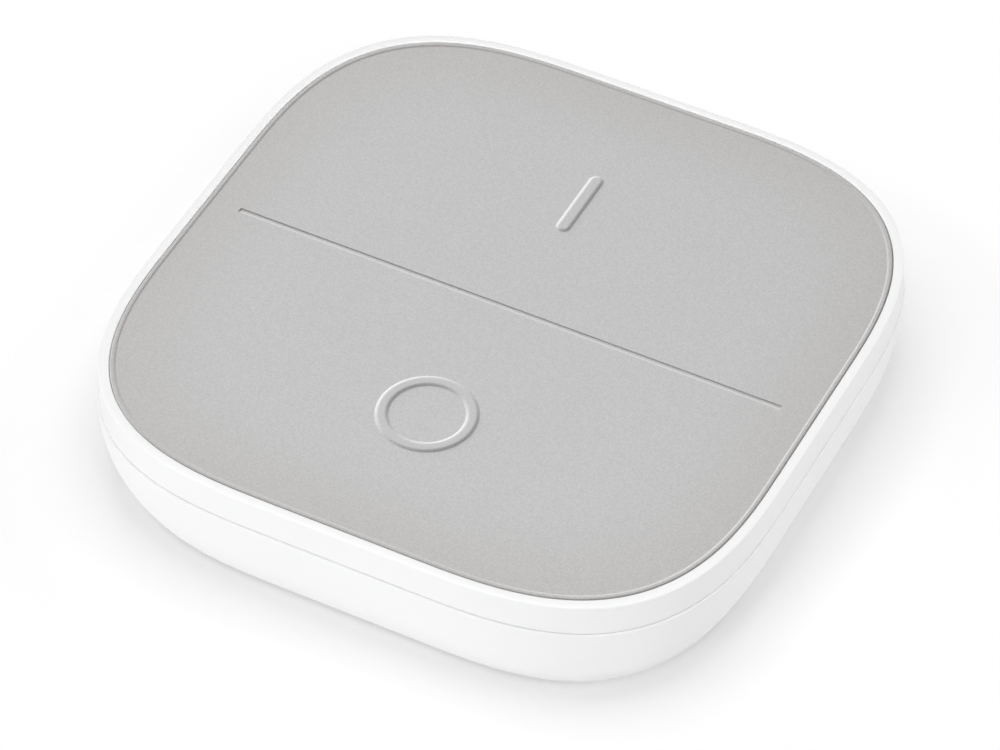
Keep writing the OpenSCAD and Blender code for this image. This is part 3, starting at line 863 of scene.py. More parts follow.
def show(
    piece: bpy.types.Object,
    body: str,
    finish: Finish,
    nodes: Sequence[str],
    crease: float = 32.0,
) -> None:
    """Puts a finished piece into the scene.

    Args:
        piece: the object, in millimetres.
        body: the CAD body that it rides on.
        finish: its finish.
        nodes: the CAD nodes that it stands for.
        crease: angle in degrees above which an edge stays sharp.
    """
    piece.data.transform(Matrix.Scale(MM, 4))
    piece.data.shade_smooth()
    piece.data.set_sharp_from_angle(angle=math.radians(crease))
    level = piece.modifiers.new("level_faces", "WEIGHTED_NORMAL")
    level.keep_sharp = True
    piece.data.materials.clear()
    piece.data.materials.append(finish.material())
    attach(piece, body)
    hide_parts(*nodes)
    faces = len(piece.data.polygons)
    log.info("%s stands for %s on %s, %d faces", piece.name, ", ".join(nodes), body, faces)


def dress(node: str, finish: Finish, edge: float = 0.0, crease: float = 50.0) -> None:
    """Gives a CAD node its finish and, where asked, edges that catch the light.

    Args:
        node: the CAD node.
        finish: its finish.
        edge: width of the rounded edges.
        crease: angle in degrees above which an edge is rounded.
    """
    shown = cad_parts[node]
    shown.data.materials.clear()
    shown.data.materials.append(finish.material())
    if edge > 0:
        shown.modifiers.new("weld", "WELD").merge_threshold = WELD_GAP
        rounding = shown.modifiers.new("edges", "BEVEL")
        rounding.width = edge * MM
        rounding.segments = 2
        rounding.limit_method = "ANGLE"
        rounding.angle_limit = math.radians(crease)
        rounding.harden_normals = True
    log.info("%s keeps its solid, in %s", node, finish.name)


# Housing

@dataclass(frozen=True)
class Shell:
    """Sizes that the housings and the keys share.

    Attributes:
        outline: the rounded square that every level follows.
        seam_half: half width at the seam.
        rim_z: height of the rim.
        base_z: height of the base cover's underside.
        rim_inset: distance of the rim's inner edge inside the seam.
        seam_z: height of the seam.
        seam_slit: gap that shows at the seam.
        support: distance of the edge loops that keep flat stretches flat.
        margin: width of the level strip round a rounded form.
        sink: how far an added form reaches into the upper housing and into the base cover.
        past: how far a cut reaches past what it cuts.
    """

    outline: Outline = Outline()
    seam_half: float = field(default_factory=lambda: node_box("upper_housing")[1].x)
    rim_z: float = field(default_factory=lambda: node_box("upper_housing")[1].z)
    base_z: float = field(default_factory=lambda: node_box("base_cover")[0].z)
    rim_inset: float = 1.43
    seam_z: float = 11.65
    seam_slit: float = 0.045
    support: float = 0.02
    margin: float = 0.05
    sink: Flat = (0.3, 0.4)
    past: float = 0.1

    @property
    def rim_half(self) -> float:
        """Half width of the rim's inner edge."""
        return self.seam_half - self.rim_inset

    def mould(self, name: str, profile: Iterable[Flat], added: Solid, cut: Solid) -> bpy.types.Object:
        """Builds a housing.

        Args:
            name: the object's name.
            profile: its section, as (half width, height).
            added: what is added to it.
            cut: what is then cut out of it.

        Returns:
            The housing, in millimetres.
        """
        solid = Solid()
        solid.tube([self.outline.ring(half, z) for half, z in profile])
        piece = solid.to_object(name)
        join(piece, added, Join.ADD)
        join(piece, cut, Join.CUT)
        return piece


@dataclass
class UpperHousing:
    """Upper housing: the rim, the deck with its windows, the tongue, bosses, ribs and saddles.

    Attributes:
        shell: sizes shared with the base cover and the keys.
        rim_flat: width of the flat on the rim.
        crown: width and drop of the rim's gentle fall outside that flat.
        inner_edge: rounding of the rim's inner edge.
        outer_edge: width and height of the rounding of the rim's outer edge.
        outer_bow: share of that width at which the rounding turns down.
        side_bow: how far the side leans at its ends, and over which height.
        side_inset: distance of the side's foot inside the seam, which leaves a ledge on the base cover.
        seam_edge: rounding of the edge at the seam.
        deck: heights of the deck's underside and top.
        tongue_half: half width of the tongue's outside.
        tongue_t: thickness of the tongue.
        tongue_z: height of the tongue's lower edge.
        tongue_edge: rounding of that edge.
        window: half length and half width of the window over the cells.
        switch_window: place along Y and half width of the windows over the switches.
        hook_slot: half length and half width of a slot for a key's hook.
        hook_at: place of a hook's slot.
        boss_at: place of a screw boss.
        boss_r: radius of a boss and of its hole.
        boss_edge: chamfer of a boss's foot and of its hole.
        boss_flare: width and height of a boss's flare at the deck.
        pin_z: height of the hinge pin's axis.
        pin_r: radius of the pin's seat.
        pin_edge: rounding of the pin's ends.
        saddle: length and half width of a saddle.
        rib: thickness and depth of a rib.
        ribs: (place along Y, half length) of the ribs.
        form_edge: rounding of ribs and saddles.
        window_edge: rounding of the window over the cells, of those over the switches and of the slots.
        window_drop: how far below the deck's underside the windows are cut.
        hole_end: how far below the deck's underside a boss's hole ends.
        window_rise: how far the windows over the switches and the slots are cut above the others.
        bead: length and radius of a friction bead, and how far it stands out.
        bead_tip: length of a bead's tapered tip.
        steps: stretches for the inner edge, the crown, the outer edge, the seam's edge and the tongue's edge.
        sides: sides of the bosses and the pin's seat, and of the thinner turned forms.
    """

    shell: Shell
    rim_flat: float = 0.4
    crown: Flat = (0.61, 0.08)
    inner_edge: float = 0.2
    outer_edge: Flat = (0.12, 0.21)
    outer_bow: float = 0.75
    side_bow: Flat = (0.005, 0.1)
    side_inset: float = 0.22
    seam_edge: float = 0.11
    deck: Flat = (11.5, 12.5)
    tongue_half: float = 38.0
    tongue_t: float = 1.2
    tongue_z: float = 9.7
    tongue_edge: float = 0.2
    window: Flat = (24.15, 11.55)
    switch_window: Flat = (18.8, 3.6)
    hook_slot: Flat = (2.1, 0.9)
    hook_at: Flat = (18.0, 34.02)
    boss_at: Flat = (28.55, 10.25)
    boss_r: Flat = (2.3, 0.85)
    boss_edge: Flat = (0.2, 0.15)
    boss_flare: Flat = (0.25, 0.5)
    pin_z: float = field(default_factory=lambda: sum(corner.z for corner in node_box("hinge_pin")) / 2)
    pin_r: float = 0.82
    pin_edge: float = 0.1
    saddle: Flat = (4.0, 2.0)
    rib: Flat = (0.8, 1.2)
    ribs: tuple[Flat, Flat] = ((13.95, 28.55), (32.12, 14.4))
    form_edge: float = 0.15
    window_edge: Point = (0.25, 0.3, 0.2)
    window_drop: float = 0.6
    hole_end: float = 0.4
    window_rise: float = 0.4
    bead: Point = (12.0, 0.4, 0.15)
    bead_tip: float = 0.4
    steps: tuple[int, ...] = (5, 8, 6, 5, 4)
    sides: tuple[int, int] = (32, 24)

    def profile(self) -> list[Flat]:
        """Draws the housing's section.

        Returns:
            Half widths and heights from the deck's top, over the rim, to the deck's underside.
        """
        shell = self.shell
        top, keep = shell.rim_z, shell.support
        inner, inside = shell.rim_half, self.inner_edge
        edge_w, edge_h = self.outer_edge
        flat_end = inner + self.rim_flat
        crown_w, crown_h = self.crown
        crown_end = (flat_end + crown_w, top - crown_h)
        fall = 2 * crown_h / crown_w
        turn = self.outer_bow * edge_w
        edge_corner = (crown_end[0] + turn, crown_end[1] - turn * fall)
        side_top = (crown_end[0] + edge_w, crown_end[1] - edge_h)
        foot = shell.seam_z + shell.seam_slit / 2
        foot_half = shell.seam_half - self.side_inset
        side_foot = (foot_half, foot + self.seam_edge)
        bow_w, bow_h = self.side_bow
        lower, tongue_in = self.tongue_z, self.tongue_half - self.tongue_t
        soft = self.tongue_edge
        inner_steps, crown_steps, outer_steps, seam_steps, tongue_steps = self.steps
        return [
            (inner, self.deck[1]),
            (inner, top - inside - keep),
            *arc((inner + inside, top - inside), (inside, inside), 180, 90, inner_steps),
            (inner + inside + keep, top),
            (flat_end - keep, top),
            *bend((flat_end, top), (flat_end + crown_w / 2, top), crown_end, crown_steps),
            *bend(crown_end, edge_corner, side_top, outer_steps)[1:],
            (side_top[0] + bow_w, side_top[1] - bow_h),
            (side_foot[0] - bow_w, side_foot[1] + bow_h),
            *bend(side_foot, (foot_half, foot), (foot_half - self.seam_edge, foot), seam_steps),
            (self.tongue_half, foot),
            (self.tongue_half, lower + soft),
            *arc((self.tongue_half - soft, lower + soft), (soft, soft), 0, -90, tongue_steps)[1:],
            *arc((tongue_in + soft, lower + soft), (soft, soft), -90, -180, tongue_steps),
            (tongue_in, self.deck[0]),
        ]

    def additions(self) -> Solid:
        """Builds bosses, ribs, saddles and beads.

        Returns:
            All of them as one solid.
        """
        added = Solid()
        low, high = self.deck
        sink = self.shell.sink[0]
        foot = node_box("upper_housing")[0].z
        r, soft = self.boss_r[0], self.boss_edge[0]
        wide, tall = self.boss_flare
        boss = [(r - soft, foot), (r, foot + soft), (r, low - tall), (r + wide, low), (r + wide, low + sink)]
        added.lathes(boss, mirrored(self.boss_at), self.sides[0])
        thick, deep = self.rib
        for place, half in self.ribs:
            for y in (-place, place):
                ends = (-half, y - thick / 2, low - deep), (half, y + thick / 2, low + sink)
                added.block(*ends, self.form_edge)
        length, half = self.saddle
        for side in (-1, 1):
            start, end = sorted((side * self.window[0], side * (self.window[0] + length)))
            ends = (start, -half, high - sink), (end, half, self.pin_z + self.pin_r / 2)
            added.block(*ends, self.form_edge)
        bead_l, bead_r, proud = self.bead
        tip, thin = bead_l / 2 - self.bead_tip, bead_r / 2
        bead = [(thin, -bead_l / 2), (bead_r, -tip), (bead_r, tip), (thin, bead_l / 2)]
        at = (self.tongue_half + proud - bead_r, 0, (self.tongue_z + self.shell.seam_z) / 2)
        lying = Matrix.Translation(at) @ Matrix.Rotation(QUARTER, 4, "X")
        for quarter in range(4):
            added.lathe(bead, Matrix.Rotation(quarter * QUARTER, 4, "Z") @ lying, self.sides[1])
        return added

    def cuts(self) -> Solid:
        """Builds what is cut out: windows, slots, screw holes and the pin's seat.

        Returns:
            All of it as one solid.
        """
        cut = Solid()
        low = self.deck[0] - self.window_drop
        high = self.deck[1] + self.shell.support
        small_high = high + self.window_rise
        cell_edge, switch_edge, slot_edge = self.window_edge
        x, y = self.window
        cut.block((-x, -y, low), (x, y, high), cell_edge)
        at, half = self.switch_window
        slot_x, slot_y = self.hook_slot
        foot, past = node_box("upper_housing")[0].z, self.shell.past
        r, soft = self.boss_r[1], self.boss_edge[1]
        hole = [(r + soft, foot - past), (r, foot + soft), (r, self.deck[0] - self.hole_end)]
        for side in (-1, 1):
            ends = (-half, side * at - half, low), (half, side * at + half, small_high)
            cut.block(*ends, switch_edge)
        for x, y in mirrored(self.hook_at):
            ends = (x - slot_x, y - slot_y, low), (x + slot_x, y + slot_y, small_high)
            cut.block(*ends, slot_edge)
        cut.lathes(hole, mirrored(self.boss_at), self.sides[1])
        reach = self.window[0] + self.saddle[0] + past
        across = Matrix.Translation((0, 0, self.pin_z)) @ Matrix.Rotation(QUARTER, 4, "Y")
        cut.lathe([(self.pin_r, -reach), (self.pin_r, reach)], across, self.sides[0])
        return cut

    def build(self) -> None:
        """Builds the housing and dresses the pin that it holds."""
        parts = self.profile(), self.additions(), self.cuts()
        piece = self.shell.mould("upper_housing_moulding", *parts)
        show(piece, "unit", HOUSING_WHITE, ["upper_housing"])
        dress("hinge_pin", PIN_STEEL, self.pin_edge)


@dataclass
class BaseCover:
    """Base cover: the shell under the seam, its seat ribs and screw rings, and the feet.

    Attributes:
        shell: sizes shared with the upper housing.
        taper: how far the wall draws in from the seam to the bottom.
        taper_power: power of the curve by which it draws in.
        taper_top: height from which it draws in.
        edge: height at which the bottom edge's rounding meets the wall, and its width on the underside.
        lean_over: height over which the wall's lean at its foot is measured.
        top_edge: rounding of the edge at the seam.
        wall: thickness of the wall.
        floor_z: height of the floor inside.
        fillet: rounding between floor and wall inside.
        fillet_lean: how far the wall leans in over that rounding.
        levels: stretches that stand for the wall's curve.
        seat_at: place of a seat rib along its side.
        seat: distance of a seat rib's inner edge from the middle, its thickness and the height of its top.
        seat_edge: chamfer of a seat rib's top.
        seat_step: height between the points by which a seat rib follows the wall.
        screw_at: distance of a wall screw from the middle.
        screw_r: radius of a wall screw's hole and of the ring round it.
        screw_edge: width and height of the chamfers at the hole's lower and upper end.
        ring_h: height of that ring.
        ring_edge: width and height of the ring's foot, and chamfer of its top.
        foot_at: distance of a foot from the middle, each way.
        foot_r: radius of a foot.
        foot_t: thickness of a foot.
        foot_edge: rounding of a foot's edge.
        foot_dish: distances of the edges of a foot's hollow from its rim, and the hollow's depth.
        pocket: room round a foot, and depth of its pocket.
        steps: stretches for the bottom edge, the seam's edge outside and inside, and the fillet.
        foot_steps: stretches for a foot's edge, and sides of a foot.
    """

    shell: Shell
    taper: float = 2.95
    taper_power: float = 2.2
    taper_top: float = 11.7
    edge: Flat = (0.3, 0.25)
    lean_over: float = 0.1
    top_edge: float = 0.28
    wall: float = 1.8
    floor_z: float = 1.9
    fillet: float = 0.7
    fillet_lean: float = 0.25
    levels: int = 14
    seat_at: float = 12.0
    seat: Point = (35.4, 1.6, 9.55)
    seat_edge: float = 0.3
    seat_step: float = 2.0
    screw_at: float = 30.0
    screw_r: Flat = (2.2, 4.5)
    screw_edge: tuple[Flat, Flat] = ((0.35, 0.25), (0.3, 0.2))
    ring_h: float = 0.8
    ring_edge: Point = (0.3, 0.25, 0.15)
    foot_at: float = 24.0
    foot_r: float = 4.5
    foot_t: float = 1.0
    foot_edge: float = 0.18
    foot_dish: Point = (1.2, 0.9, 0.06)
    pocket: Flat = (0.1, 0.6)
    steps: tuple[int, ...] = (8, 5, 4, 6)
    foot_steps: tuple[int, int] = (4, 64)

    @property
    def screws(self) -> list[Flat]:
        """Places of the wall screws."""
        return [(-self.screw_at, 0), (self.screw_at, 0)]

    @property
    def feet(self) -> list[Flat]:
        """Places of the feet."""
        return mirrored((self.foot_at, self.foot_at))

    def half(self, z: float) -> float:
        """Half width of the outside at a height."""
        share = max(0.0, self.taper_top - z) / (self.taper_top - self.shell.base_z)
        return self.shell.seam_half - self.taper * share**self.taper_power

    def profile(self) -> list[Flat]:
        """Draws the cover's section.

        Returns:
            Half widths and heights from the underside, up the outside, over the edge and down to the floor.
        """
        shell = self.shell
        low = shell.base_z
        top = shell.seam_z - shell.seam_slit / 2
        up, along = self.edge
        wall_foot = (self.half(low + up), low + up)
        lean = (self.half(low + up + self.lean_over) - wall_foot[0]) / self.lean_over
        corner = (wall_foot[0] - lean * up, low)
        under = (corner[0] - along, low)
        rise = top - self.top_edge - wall_foot[1]
        heights = [wall_foot[1] + rise * step / self.levels for step in range(1, self.levels + 1)]
        outside = [(self.half(z), z) for z in heights]
        inside = [(self.half(z) - self.wall, z) for z in reversed(heights[2:-1])]
        soft = self.top_edge
        outer = self.half(top)
        inner = outer - self.wall
        fillet_top = (self.half(self.floor_z + self.fillet) - self.wall, self.floor_z + self.fillet)
        fillet_corner = (fillet_top[0] - self.fillet_lean, self.floor_z)
        fillet_end = (fillet_corner[0] - self.fillet, self.floor_z)
        edge_steps, outer_steps, inner_steps, fillet_steps = self.steps
        return [
            (under[0] - shell.margin, low),
            *bend(under, corner, wall_foot, edge_steps),
            *outside,
            *bend((outer, top - soft), (outer, top), (outer - soft, top), outer_steps)[1:],
            (outer - soft - shell.support, top),
            *bend((inner + soft, top), (inner, top), (inner, top - soft), inner_steps),
            *inside,
            *bend(fillet_top, fillet_corner, fillet_end, fillet_steps),
        ]

    def additions(self) -> Solid:
        """Builds the seat ribs and screw rings.

        Returns:
            All of them as one solid.
        """
        added = Solid()
        sink = self.shell.sink[1]
        inner, thick, top = self.seat
        foot, soft = self.floor_z - sink, self.seat_edge
        heights = [*(foot + step * self.seat_step for step in range(4)), top]
        rooted = [(self.half(z) - self.wall + sink, z) for z in heights]
        section = [(inner, foot), *rooted, (inner + soft, top), (inner, top - soft)]
        for quarter in range(4):
            turn = Matrix.Rotation(quarter * QUARTER, 4, "Z")
            for side in (-1, 1):
                low_y = side * self.seat_at - thick / 2
                added.tube([
                    [turn @ Vector((x, y, z)) for x, z in section]
                    for y in (low_y, low_y + thick)
                ])
        r = self.screw_r[1]
        wide, tall, soft = self.ring_edge
        top = self.floor_z + self.ring_h
        ring = [
            (r + wide, foot),
            (r + wide, self.floor_z),
            (r, self.floor_z + tall),
            (r, top - soft),
            (r - soft, top),
        ]
        added.lathes(ring, self.screws)
        return added

    def cuts(self) -> Solid:
        """Builds what is cut out: wall screw holes and the feet's pockets.

        Returns:
            All of it as one solid.
        """
        cut = Solid()
        low, past = self.shell.base_z, self.shell.past
        r = self.screw_r[0]
        top = self.floor_z + self.ring_h
        (low_w, low_h), (top_w, top_h) = self.screw_edge
        hole = [(r + low_w, low - past), (r, low + low_h), (r, top - top_h), (r + top_w, top + past)]
        room, deep = self.pocket
        pocket_r = self.foot_r + room
        pocket = [(pocket_r + past, low - past), (pocket_r, low + past), (pocket_r, low + deep)]
        cut.lathes(hole, self.screws)
        cut.lathes(pocket, self.feet, self.foot_steps[1])
        return cut

    def build(self) -> None:
        """Builds the base cover and its four feet."""
        parts = self.profile(), self.additions(), self.cuts()
        piece = self.shell.mould("base_cover_moulding", *parts)
        show(piece, "base", HOUSING_WHITE, ["base_cover"])
        feet = Solid()
        r, soft = self.foot_r, self.foot_edge
        wide, narrow, deep = self.foot_dish
        steps, sides = self.foot_steps
        profile = [
            (r - wide, deep),
            (r - narrow, 0.0),
            (r - soft, 0.0),
            *arc((r - soft, soft), (soft, soft), -90, 0, steps)[1:],
            (r, self.foot_t),
        ]
        feet.lathes(profile, self.feet, sides)
        show(feet.to_object("rubber_feet"), "base", FOOT_RUBBER, ["feet"])


# Keys

@dataclass
class Keys:
    """The two soft pads with their symbols, and the plates under them.

    Attributes:
        shell: sizes shared with the housings.
        rim_slit: gap that shows between a pad and the rim.
        fold_slit: distance of a pad's cut side from the fold line.
        pad_z: height of the pads' underside.
        surface_z: height of the pads' surface.
        lip: width and height of the raised lip.
        lip_edge: width and height of the rounding of the lip's outer edge.
        lip_flank: width of the slope inside the lip.
        groove: half length and depth of the groove.
        groove_half: half width of the groove on each key, at the surface and at its floor.
        groove_soft: shares of its slopes' width over which they bend at the surface and at the floor.
        groove_end: length of the groove's rounded ends.
        symbol_at: distance of both symbols from the fold line.
        bar: half width and half length of the bar.
        ring: inner and outer radius of the ring.
        symbol_h: height of the symbols.
        flank: width of a symbol's slopes.
        flank_soft: shares of that width over which the slopes bend at the foot and at the top.
        lip_steps: stretches that stand for the lip's rounding and for its slope.
        slope_steps: stretches that stand for a slope of the groove, and of a symbol.
        end_steps: stretches that stand for an end of the groove, and for one of the bar.
        ring_steps: sides of the ring.
        crease: angle in degrees above which an edge stays sharp.
        pads: the pads, once they are built.
    """

    shell: Shell
    rim_slit: float = 0.04
    fold_slit: float = 0.001
    pad_z: float = field(default_factory=lambda: node_box("on_pad")[0].z)
    surface_z: float = 15.67
    lip: Flat = (0.4, 0.05)
    lip_edge: Flat = (0.2, 0.1)
    lip_flank: float = 0.26
    groove: Flat = (34.42, 0.1)
    groove_half: tuple[tuple[KeySide, Flat], ...] = (
        (KeySide.ON, (0.35, 0.24)),
        (KeySide.OFF, (0.38, 0.02)),
    )
    groove_soft: Flat = (0.1, 0.08)
    groove_end: float = 0.05
    symbol_at: float = 18.8
    bar: Flat = (0.93, 5.08)
    ring: Flat = (4.28, 5.88)
    symbol_h: float = 0.13
    flank: float = 0.5
    flank_soft: Flat = (0.1, 0.6)
    lip_steps: int = 6
    slope_steps: tuple[int, int] = (8, 10)
    end_steps: tuple[int, int] = (12, 16)
    ring_steps: int = 96
    crease: float = 40.0
    pads: list[bpy.types.Object] = field(default_factory=list)

    def slope(self, start: Flat, end: Flat, steps: int, soft: Flat = (0.36, 0.36)) -> list[Flat]:
        """Points of a slope between two levels that starts and ends level.

        Args:
            start: place and height at its start.
            end: place and height at its end.
            steps: stretches that stand for it.
            soft: shares of its width over which it bends at its start and at its end.

        Returns:
            The points from start to end.
        """
        first, last = soft
        steepest = 1 / (1 - (first + last) / 2)
        points = []
        for step in range(steps + 1):
            share = step / steps
            if share < first:
                risen = steepest * share**2 / (2 * first)
            elif share > 1 - last:
                risen = 1 - steepest * (1 - share) ** 2 / (2 * last)
            else:
                risen = steepest * (share - first / 2)
            place = start[0] + (end[0] - start[0]) * share
            points.append((place, start[1] + (end[1] - start[1]) * risen))
        return points

    def edge_profile(self) -> list[Flat]:
        """Draws the section of a pad's border.

        Returns:
            Half widths and heights from the underside, over the lip, to the level surface.
        """
        outer = self.shell.rim_half - self.rim_slit
        width, height = self.lip
        top = self.surface_z + height
        wide, high = self.lip_edge
        flank_out = outer - width
        flank_in = flank_out - self.lip_flank
        return [
            (outer, self.pad_z),
            (outer, top - high - self.shell.support),
            *arc((outer - wide, top - high), self.lip_edge, 0, 90, self.lip_steps),
            (outer - wide - self.shell.support, top),
            *self.slope((flank_out, top), (flank_in, self.surface_z), self.lip_steps),
            (flank_in - self.shell.margin, self.surface_z),
        ]

    def groove_ring(self, radii: Flat, z: float) -> list[Point]:
        """Open ring round half the groove.

        Args:
            radii: radii of its rounded ends, along the groove and across it.
            z: the ring's height.

        Returns:
            The ring from +X to -X.
        """
        middle = self.groove[0] - self.groove_end
        near = [(middle + x, y, z) for x, y in arc((0, 0), radii, 0, 90, self.end_steps[0])]
        near[0] = (middle + radii[0], self.fold_slit, z)
        return [*near, *[(-x, y, z) for x, y, _ in reversed(near)]]

    def groove_rings(self, side: KeySide) -> list[list[Point]]:
        """Builds a key's half of the groove.

        Args:
            side: the key.

        Returns:
            Its rings, from the level surface to the groove's floor.
        """
        top = self.surface_z
        width, floor = dict(self.groove_half)[side]
        bottom = (floor, top - self.groove[1])
        slope = self.slope((width, top), bottom, self.slope_steps[0], self.groove_soft)
        profile = [(width + self.shell.margin, top), *slope]
        return [self.groove_ring((r * self.groove_end / width, r), z) for r, z in profile]

    def bar_rings(self) -> list[list[Point]]:
        """Builds the bar.

        Returns:
            Its rings, from the level surface to its top.
        """
        half_w, half_l = self.bar
        spine = half_l - half_w
        low, top = self.surface_z, self.surface_z + self.symbol_h
        inner = half_w - self.flank
        profile = [
            (half_w + self.shell.margin, low),
            *self.slope((half_w, low), (inner, top), self.slope_steps[1], self.flank_soft),
            (inner - self.shell.margin, top),
        ]
        ends = [((0, self.symbol_at + spine), 0), ((0, self.symbol_at - spine), 180)]
        steps = self.end_steps[1]
        rings = []
        for r, z in profile:
            flat = [point for at, turn in ends for point in arc(at, (r, r), turn, turn + 180, steps)]
            rings.append([(x, y, z) for x, y in flat])
        return rings

    def ring_rings(self) -> list[list[Point]]:
        """Builds the ring.

        Returns:
            Its rings, from the level surface outside it, over its top, to the surface inside.
        """
        inner, outer = self.ring
        low, top = self.surface_z, self.surface_z + self.symbol_h
        steps, soft = self.slope_steps[1], self.flank_soft
        profile = [
            (outer + self.shell.margin, low),
            *self.slope((outer, low), (outer - self.flank, top), steps, soft),
            *self.slope((inner + self.flank, top), (inner, low), steps, soft[::-1]),
            (inner - self.shell.margin, low),
        ]
        middle = (0, self.symbol_at)
        return [
            [(x, y, z) for x, y in arc(middle, (r, r), 0, 360, self.ring_steps)[:-1]]
            for r, z in profile
        ]

    def pad(self, side: KeySide) -> Solid:
        """Builds one pad as a closed solid.

        Args:
            side: the key that it belongs to.

        Returns:
            The pad, on its own side of the fold line.
        """
        pad = Solid()
        border = self.shell.outline.half_ring
        edge = pad.skin([border(half, z, self.fold_slit) for half, z in self.edge_profile()], False)
        groove = pad.skin(self.groove_rings(side), False)
        symbol = pad.skin(self.bar_rings() if side is KeySide.ON else self.ring_rings())
        pad.face(symbol[-1])
        pad.face(groove[-1])
        pad.face(edge[0])
        pad.fill([[*edge[-1], *reversed(groove[0])], symbol[0]])
        right = [loop[0] for loop in edge]
        left = [loop[-1] for loop in edge]
        groove_right = [loop[0] for loop in groove]
        groove_left = [loop[-1] for loop in groove]
        pad.face([*right, *groove_right, *reversed(groove_left), *reversed(left)])
        if side is KeySide.OFF:
            pad.mirror_y()
        return pad

    def build(self) -> None:
        """Builds both pads and dresses the plates."""
        for side in KeySide:
            name = side.name.lower()
            piece = self.pad(side).to_object(f"{name}_pad_skin")
            self.pads.append(piece)
            show(piece, f"{name}_key", PAD_GREY, [f"{name}_pad"], self.crease)
            dress(f"{name}_key_plate", PLATE_PLASTIC)


# Battery

@dataclass
class Battery:
    """Two cells in their cradle, with the contacts and springs at their ends.

    Attributes:
        can_r: radius of a cell.
        nub: radius and length of a cell's nub.
        shoulder: rounding of the can's ends.
        disc_r: radius of the flat end's disc, at its face and at its foot.
        seal: distances of the edges of the ring round the disc inside the can's side, and its depth.
        crimp: distance of the nub end's shoulder from the end.
        crimp_turn: angle in degrees over which that shoulder turns in.
        collar: distances of the edges of the nub's plate from that shoulder.
        collar_drop: depth of those edges below the end.
        nub_foot: width and height of the nub's flare.
        nub_edge: rounding of the nub's edge.
        nub_middle: radius of the nub's flat middle.
        cell_steps: stretches for a shoulder and for the nub's edge, and sides of a cell.
        cradle_edge: rounding of the cradle's edges.
        contact_edge: rounding of the contacts' edges.
        film_colour: colour of the printed film.
        film_roughness: roughness of that film.
        wire_r: radius of a spring's wire.
        coil_r: radius of a spring's wire path at its foot and at its tip.
        turns: turns of a spring.
        rings: rings of a spring in one turn.
        sides: sides of a spring's wire.
    """

    can_r: float = 5.25
    nub: Flat = (1.9, 1.0)
    shoulder: float = 0.5
    disc_r: Flat = (3.1, 3.3)
    seal: Point = (0.75, 0.55, 0.12)
    crimp: float = 0.2
    crimp_turn: float = 70.0
    collar: Flat = (0.6, 0.8)
    collar_drop: Flat = (0.12, 0.02)
    nub_foot: Flat = (0.35, 0.2)
    nub_edge: float = 0.25
    nub_middle: float = 0.4
    cell_steps: tuple[int, int, int] = (5, 4, 72)
    cradle_edge: float = 0.12
    contact_edge: float = 0.08
    film_colour: Colour = (0.03, 0.16, 0.10)
    film_roughness: float = 0.3
    wire_r: float = 0.25
    coil_r: Flat = (3.2, 1.6)
    turns: float = 2.5
    rings: int = 40
    sides: int = 12

    def cell(self, node: str, nub_side: int) -> None:
        """Builds one cell.

        Args:
            node: the cell's CAD node.
            nub_side: 1 if the nub points along +X, or -1.
        """
        low, high = node_box(node)
        flat_end = low.x if nub_side > 0 else high.x
        length = high.x - low.x
        nub_r, nub_l = self.nub
        can = length - nub_l
        r, soft = self.can_r, self.shoulder
        seal_in, seal_out, seal_deep = self.seal
        turned = can - soft - self.crimp
        drop_out, drop_in = self.collar_drop
        foot_w, foot_h = self.nub_foot
        tip = self.nub_edge
        steps, tip_steps, sides = self.cell_steps
        profile = [
            (self.disc_r[0], 0.0),
            (self.disc_r[1], seal_deep),
            (r - seal_in, seal_deep),
            (r - seal_out, 0.0),
            *arc((r - soft, soft), (soft, soft), -90, 0, steps),
            (r, turned),
            *arc((r - soft, turned), (soft, soft), 0, self.crimp_turn, steps)[1:],
            (r - soft - self.collar[0], can - drop_out),
            (r - soft - self.collar[1], can - drop_in),
            (nub_r + foot_w, can - drop_in),
            (nub_r, can + foot_h),
            (nub_r, length - tip),
            *arc((nub_r - tip, length - tip), (tip, tip), 0, 90, tip_steps)[1:],
            (self.nub_middle, length),
        ]
        place = Matrix.Translation((flat_end, (low.y + high.y) / 2, (low.z + high.z) / 2))
        turn = Matrix.Rotation(nub_side * QUARTER, 4, "Y")
        cell = Solid()
        cell.lathe(profile, place @ turn, sides)
        number = node.rsplit("_", 1)[1]
        film = CellFilm(
            f"cell_film_{number}", "cell_wrap", self.film_colour, self.film_roughness,
            flat_end=flat_end, nub_side=nub_side, length=can,
        )
        show(cell.to_object(f"cell_{number}"), "unit", film, [node])

    def spring(self, node: str, tip_side: int) -> None:
        """Builds one conical spring.

        Args:
            node: the spring's CAD node.
            tip_side: 1 if its tip points along +X, or -1.
        """
        low, high = node_box(node)
        foot_x = low.x if tip_side > 0 else high.x
        reach = high.x - low.x - 2 * self.wire_r
        cell_low, cell_high = node_box(self.cell_at(node))
        middle = (cell_low + cell_high) / 2
        count = round(self.turns * self.rings)
        rings = []
        for i in range(count + 1):
            share = i / count
            turn = 2 * math.pi * i / self.rings
            coil = self.coil_r[0] + share * (self.coil_r[1] - self.coil_r[0])
            along = self.wire_r + share * reach
            section = arc((coil, along), (self.wire_r, self.wire_r), 0, 360, self.sides)[:-1]
            rings.append([
                (foot_x + tip_side * x, middle.y + r * math.cos(turn), middle.z + r * math.sin(turn))
                for r, x in section
            ])
        spring = Solid()
        spring.tube(rings)
        show(spring.to_object(f"{node}_wire"), "unit", NICKEL, [node])

    def cell_at(self, node: str) -> str:
        """The cell that a spring presses on."""
        return "battery_cell_1" if node == "link_spring" else "battery_cell_2"

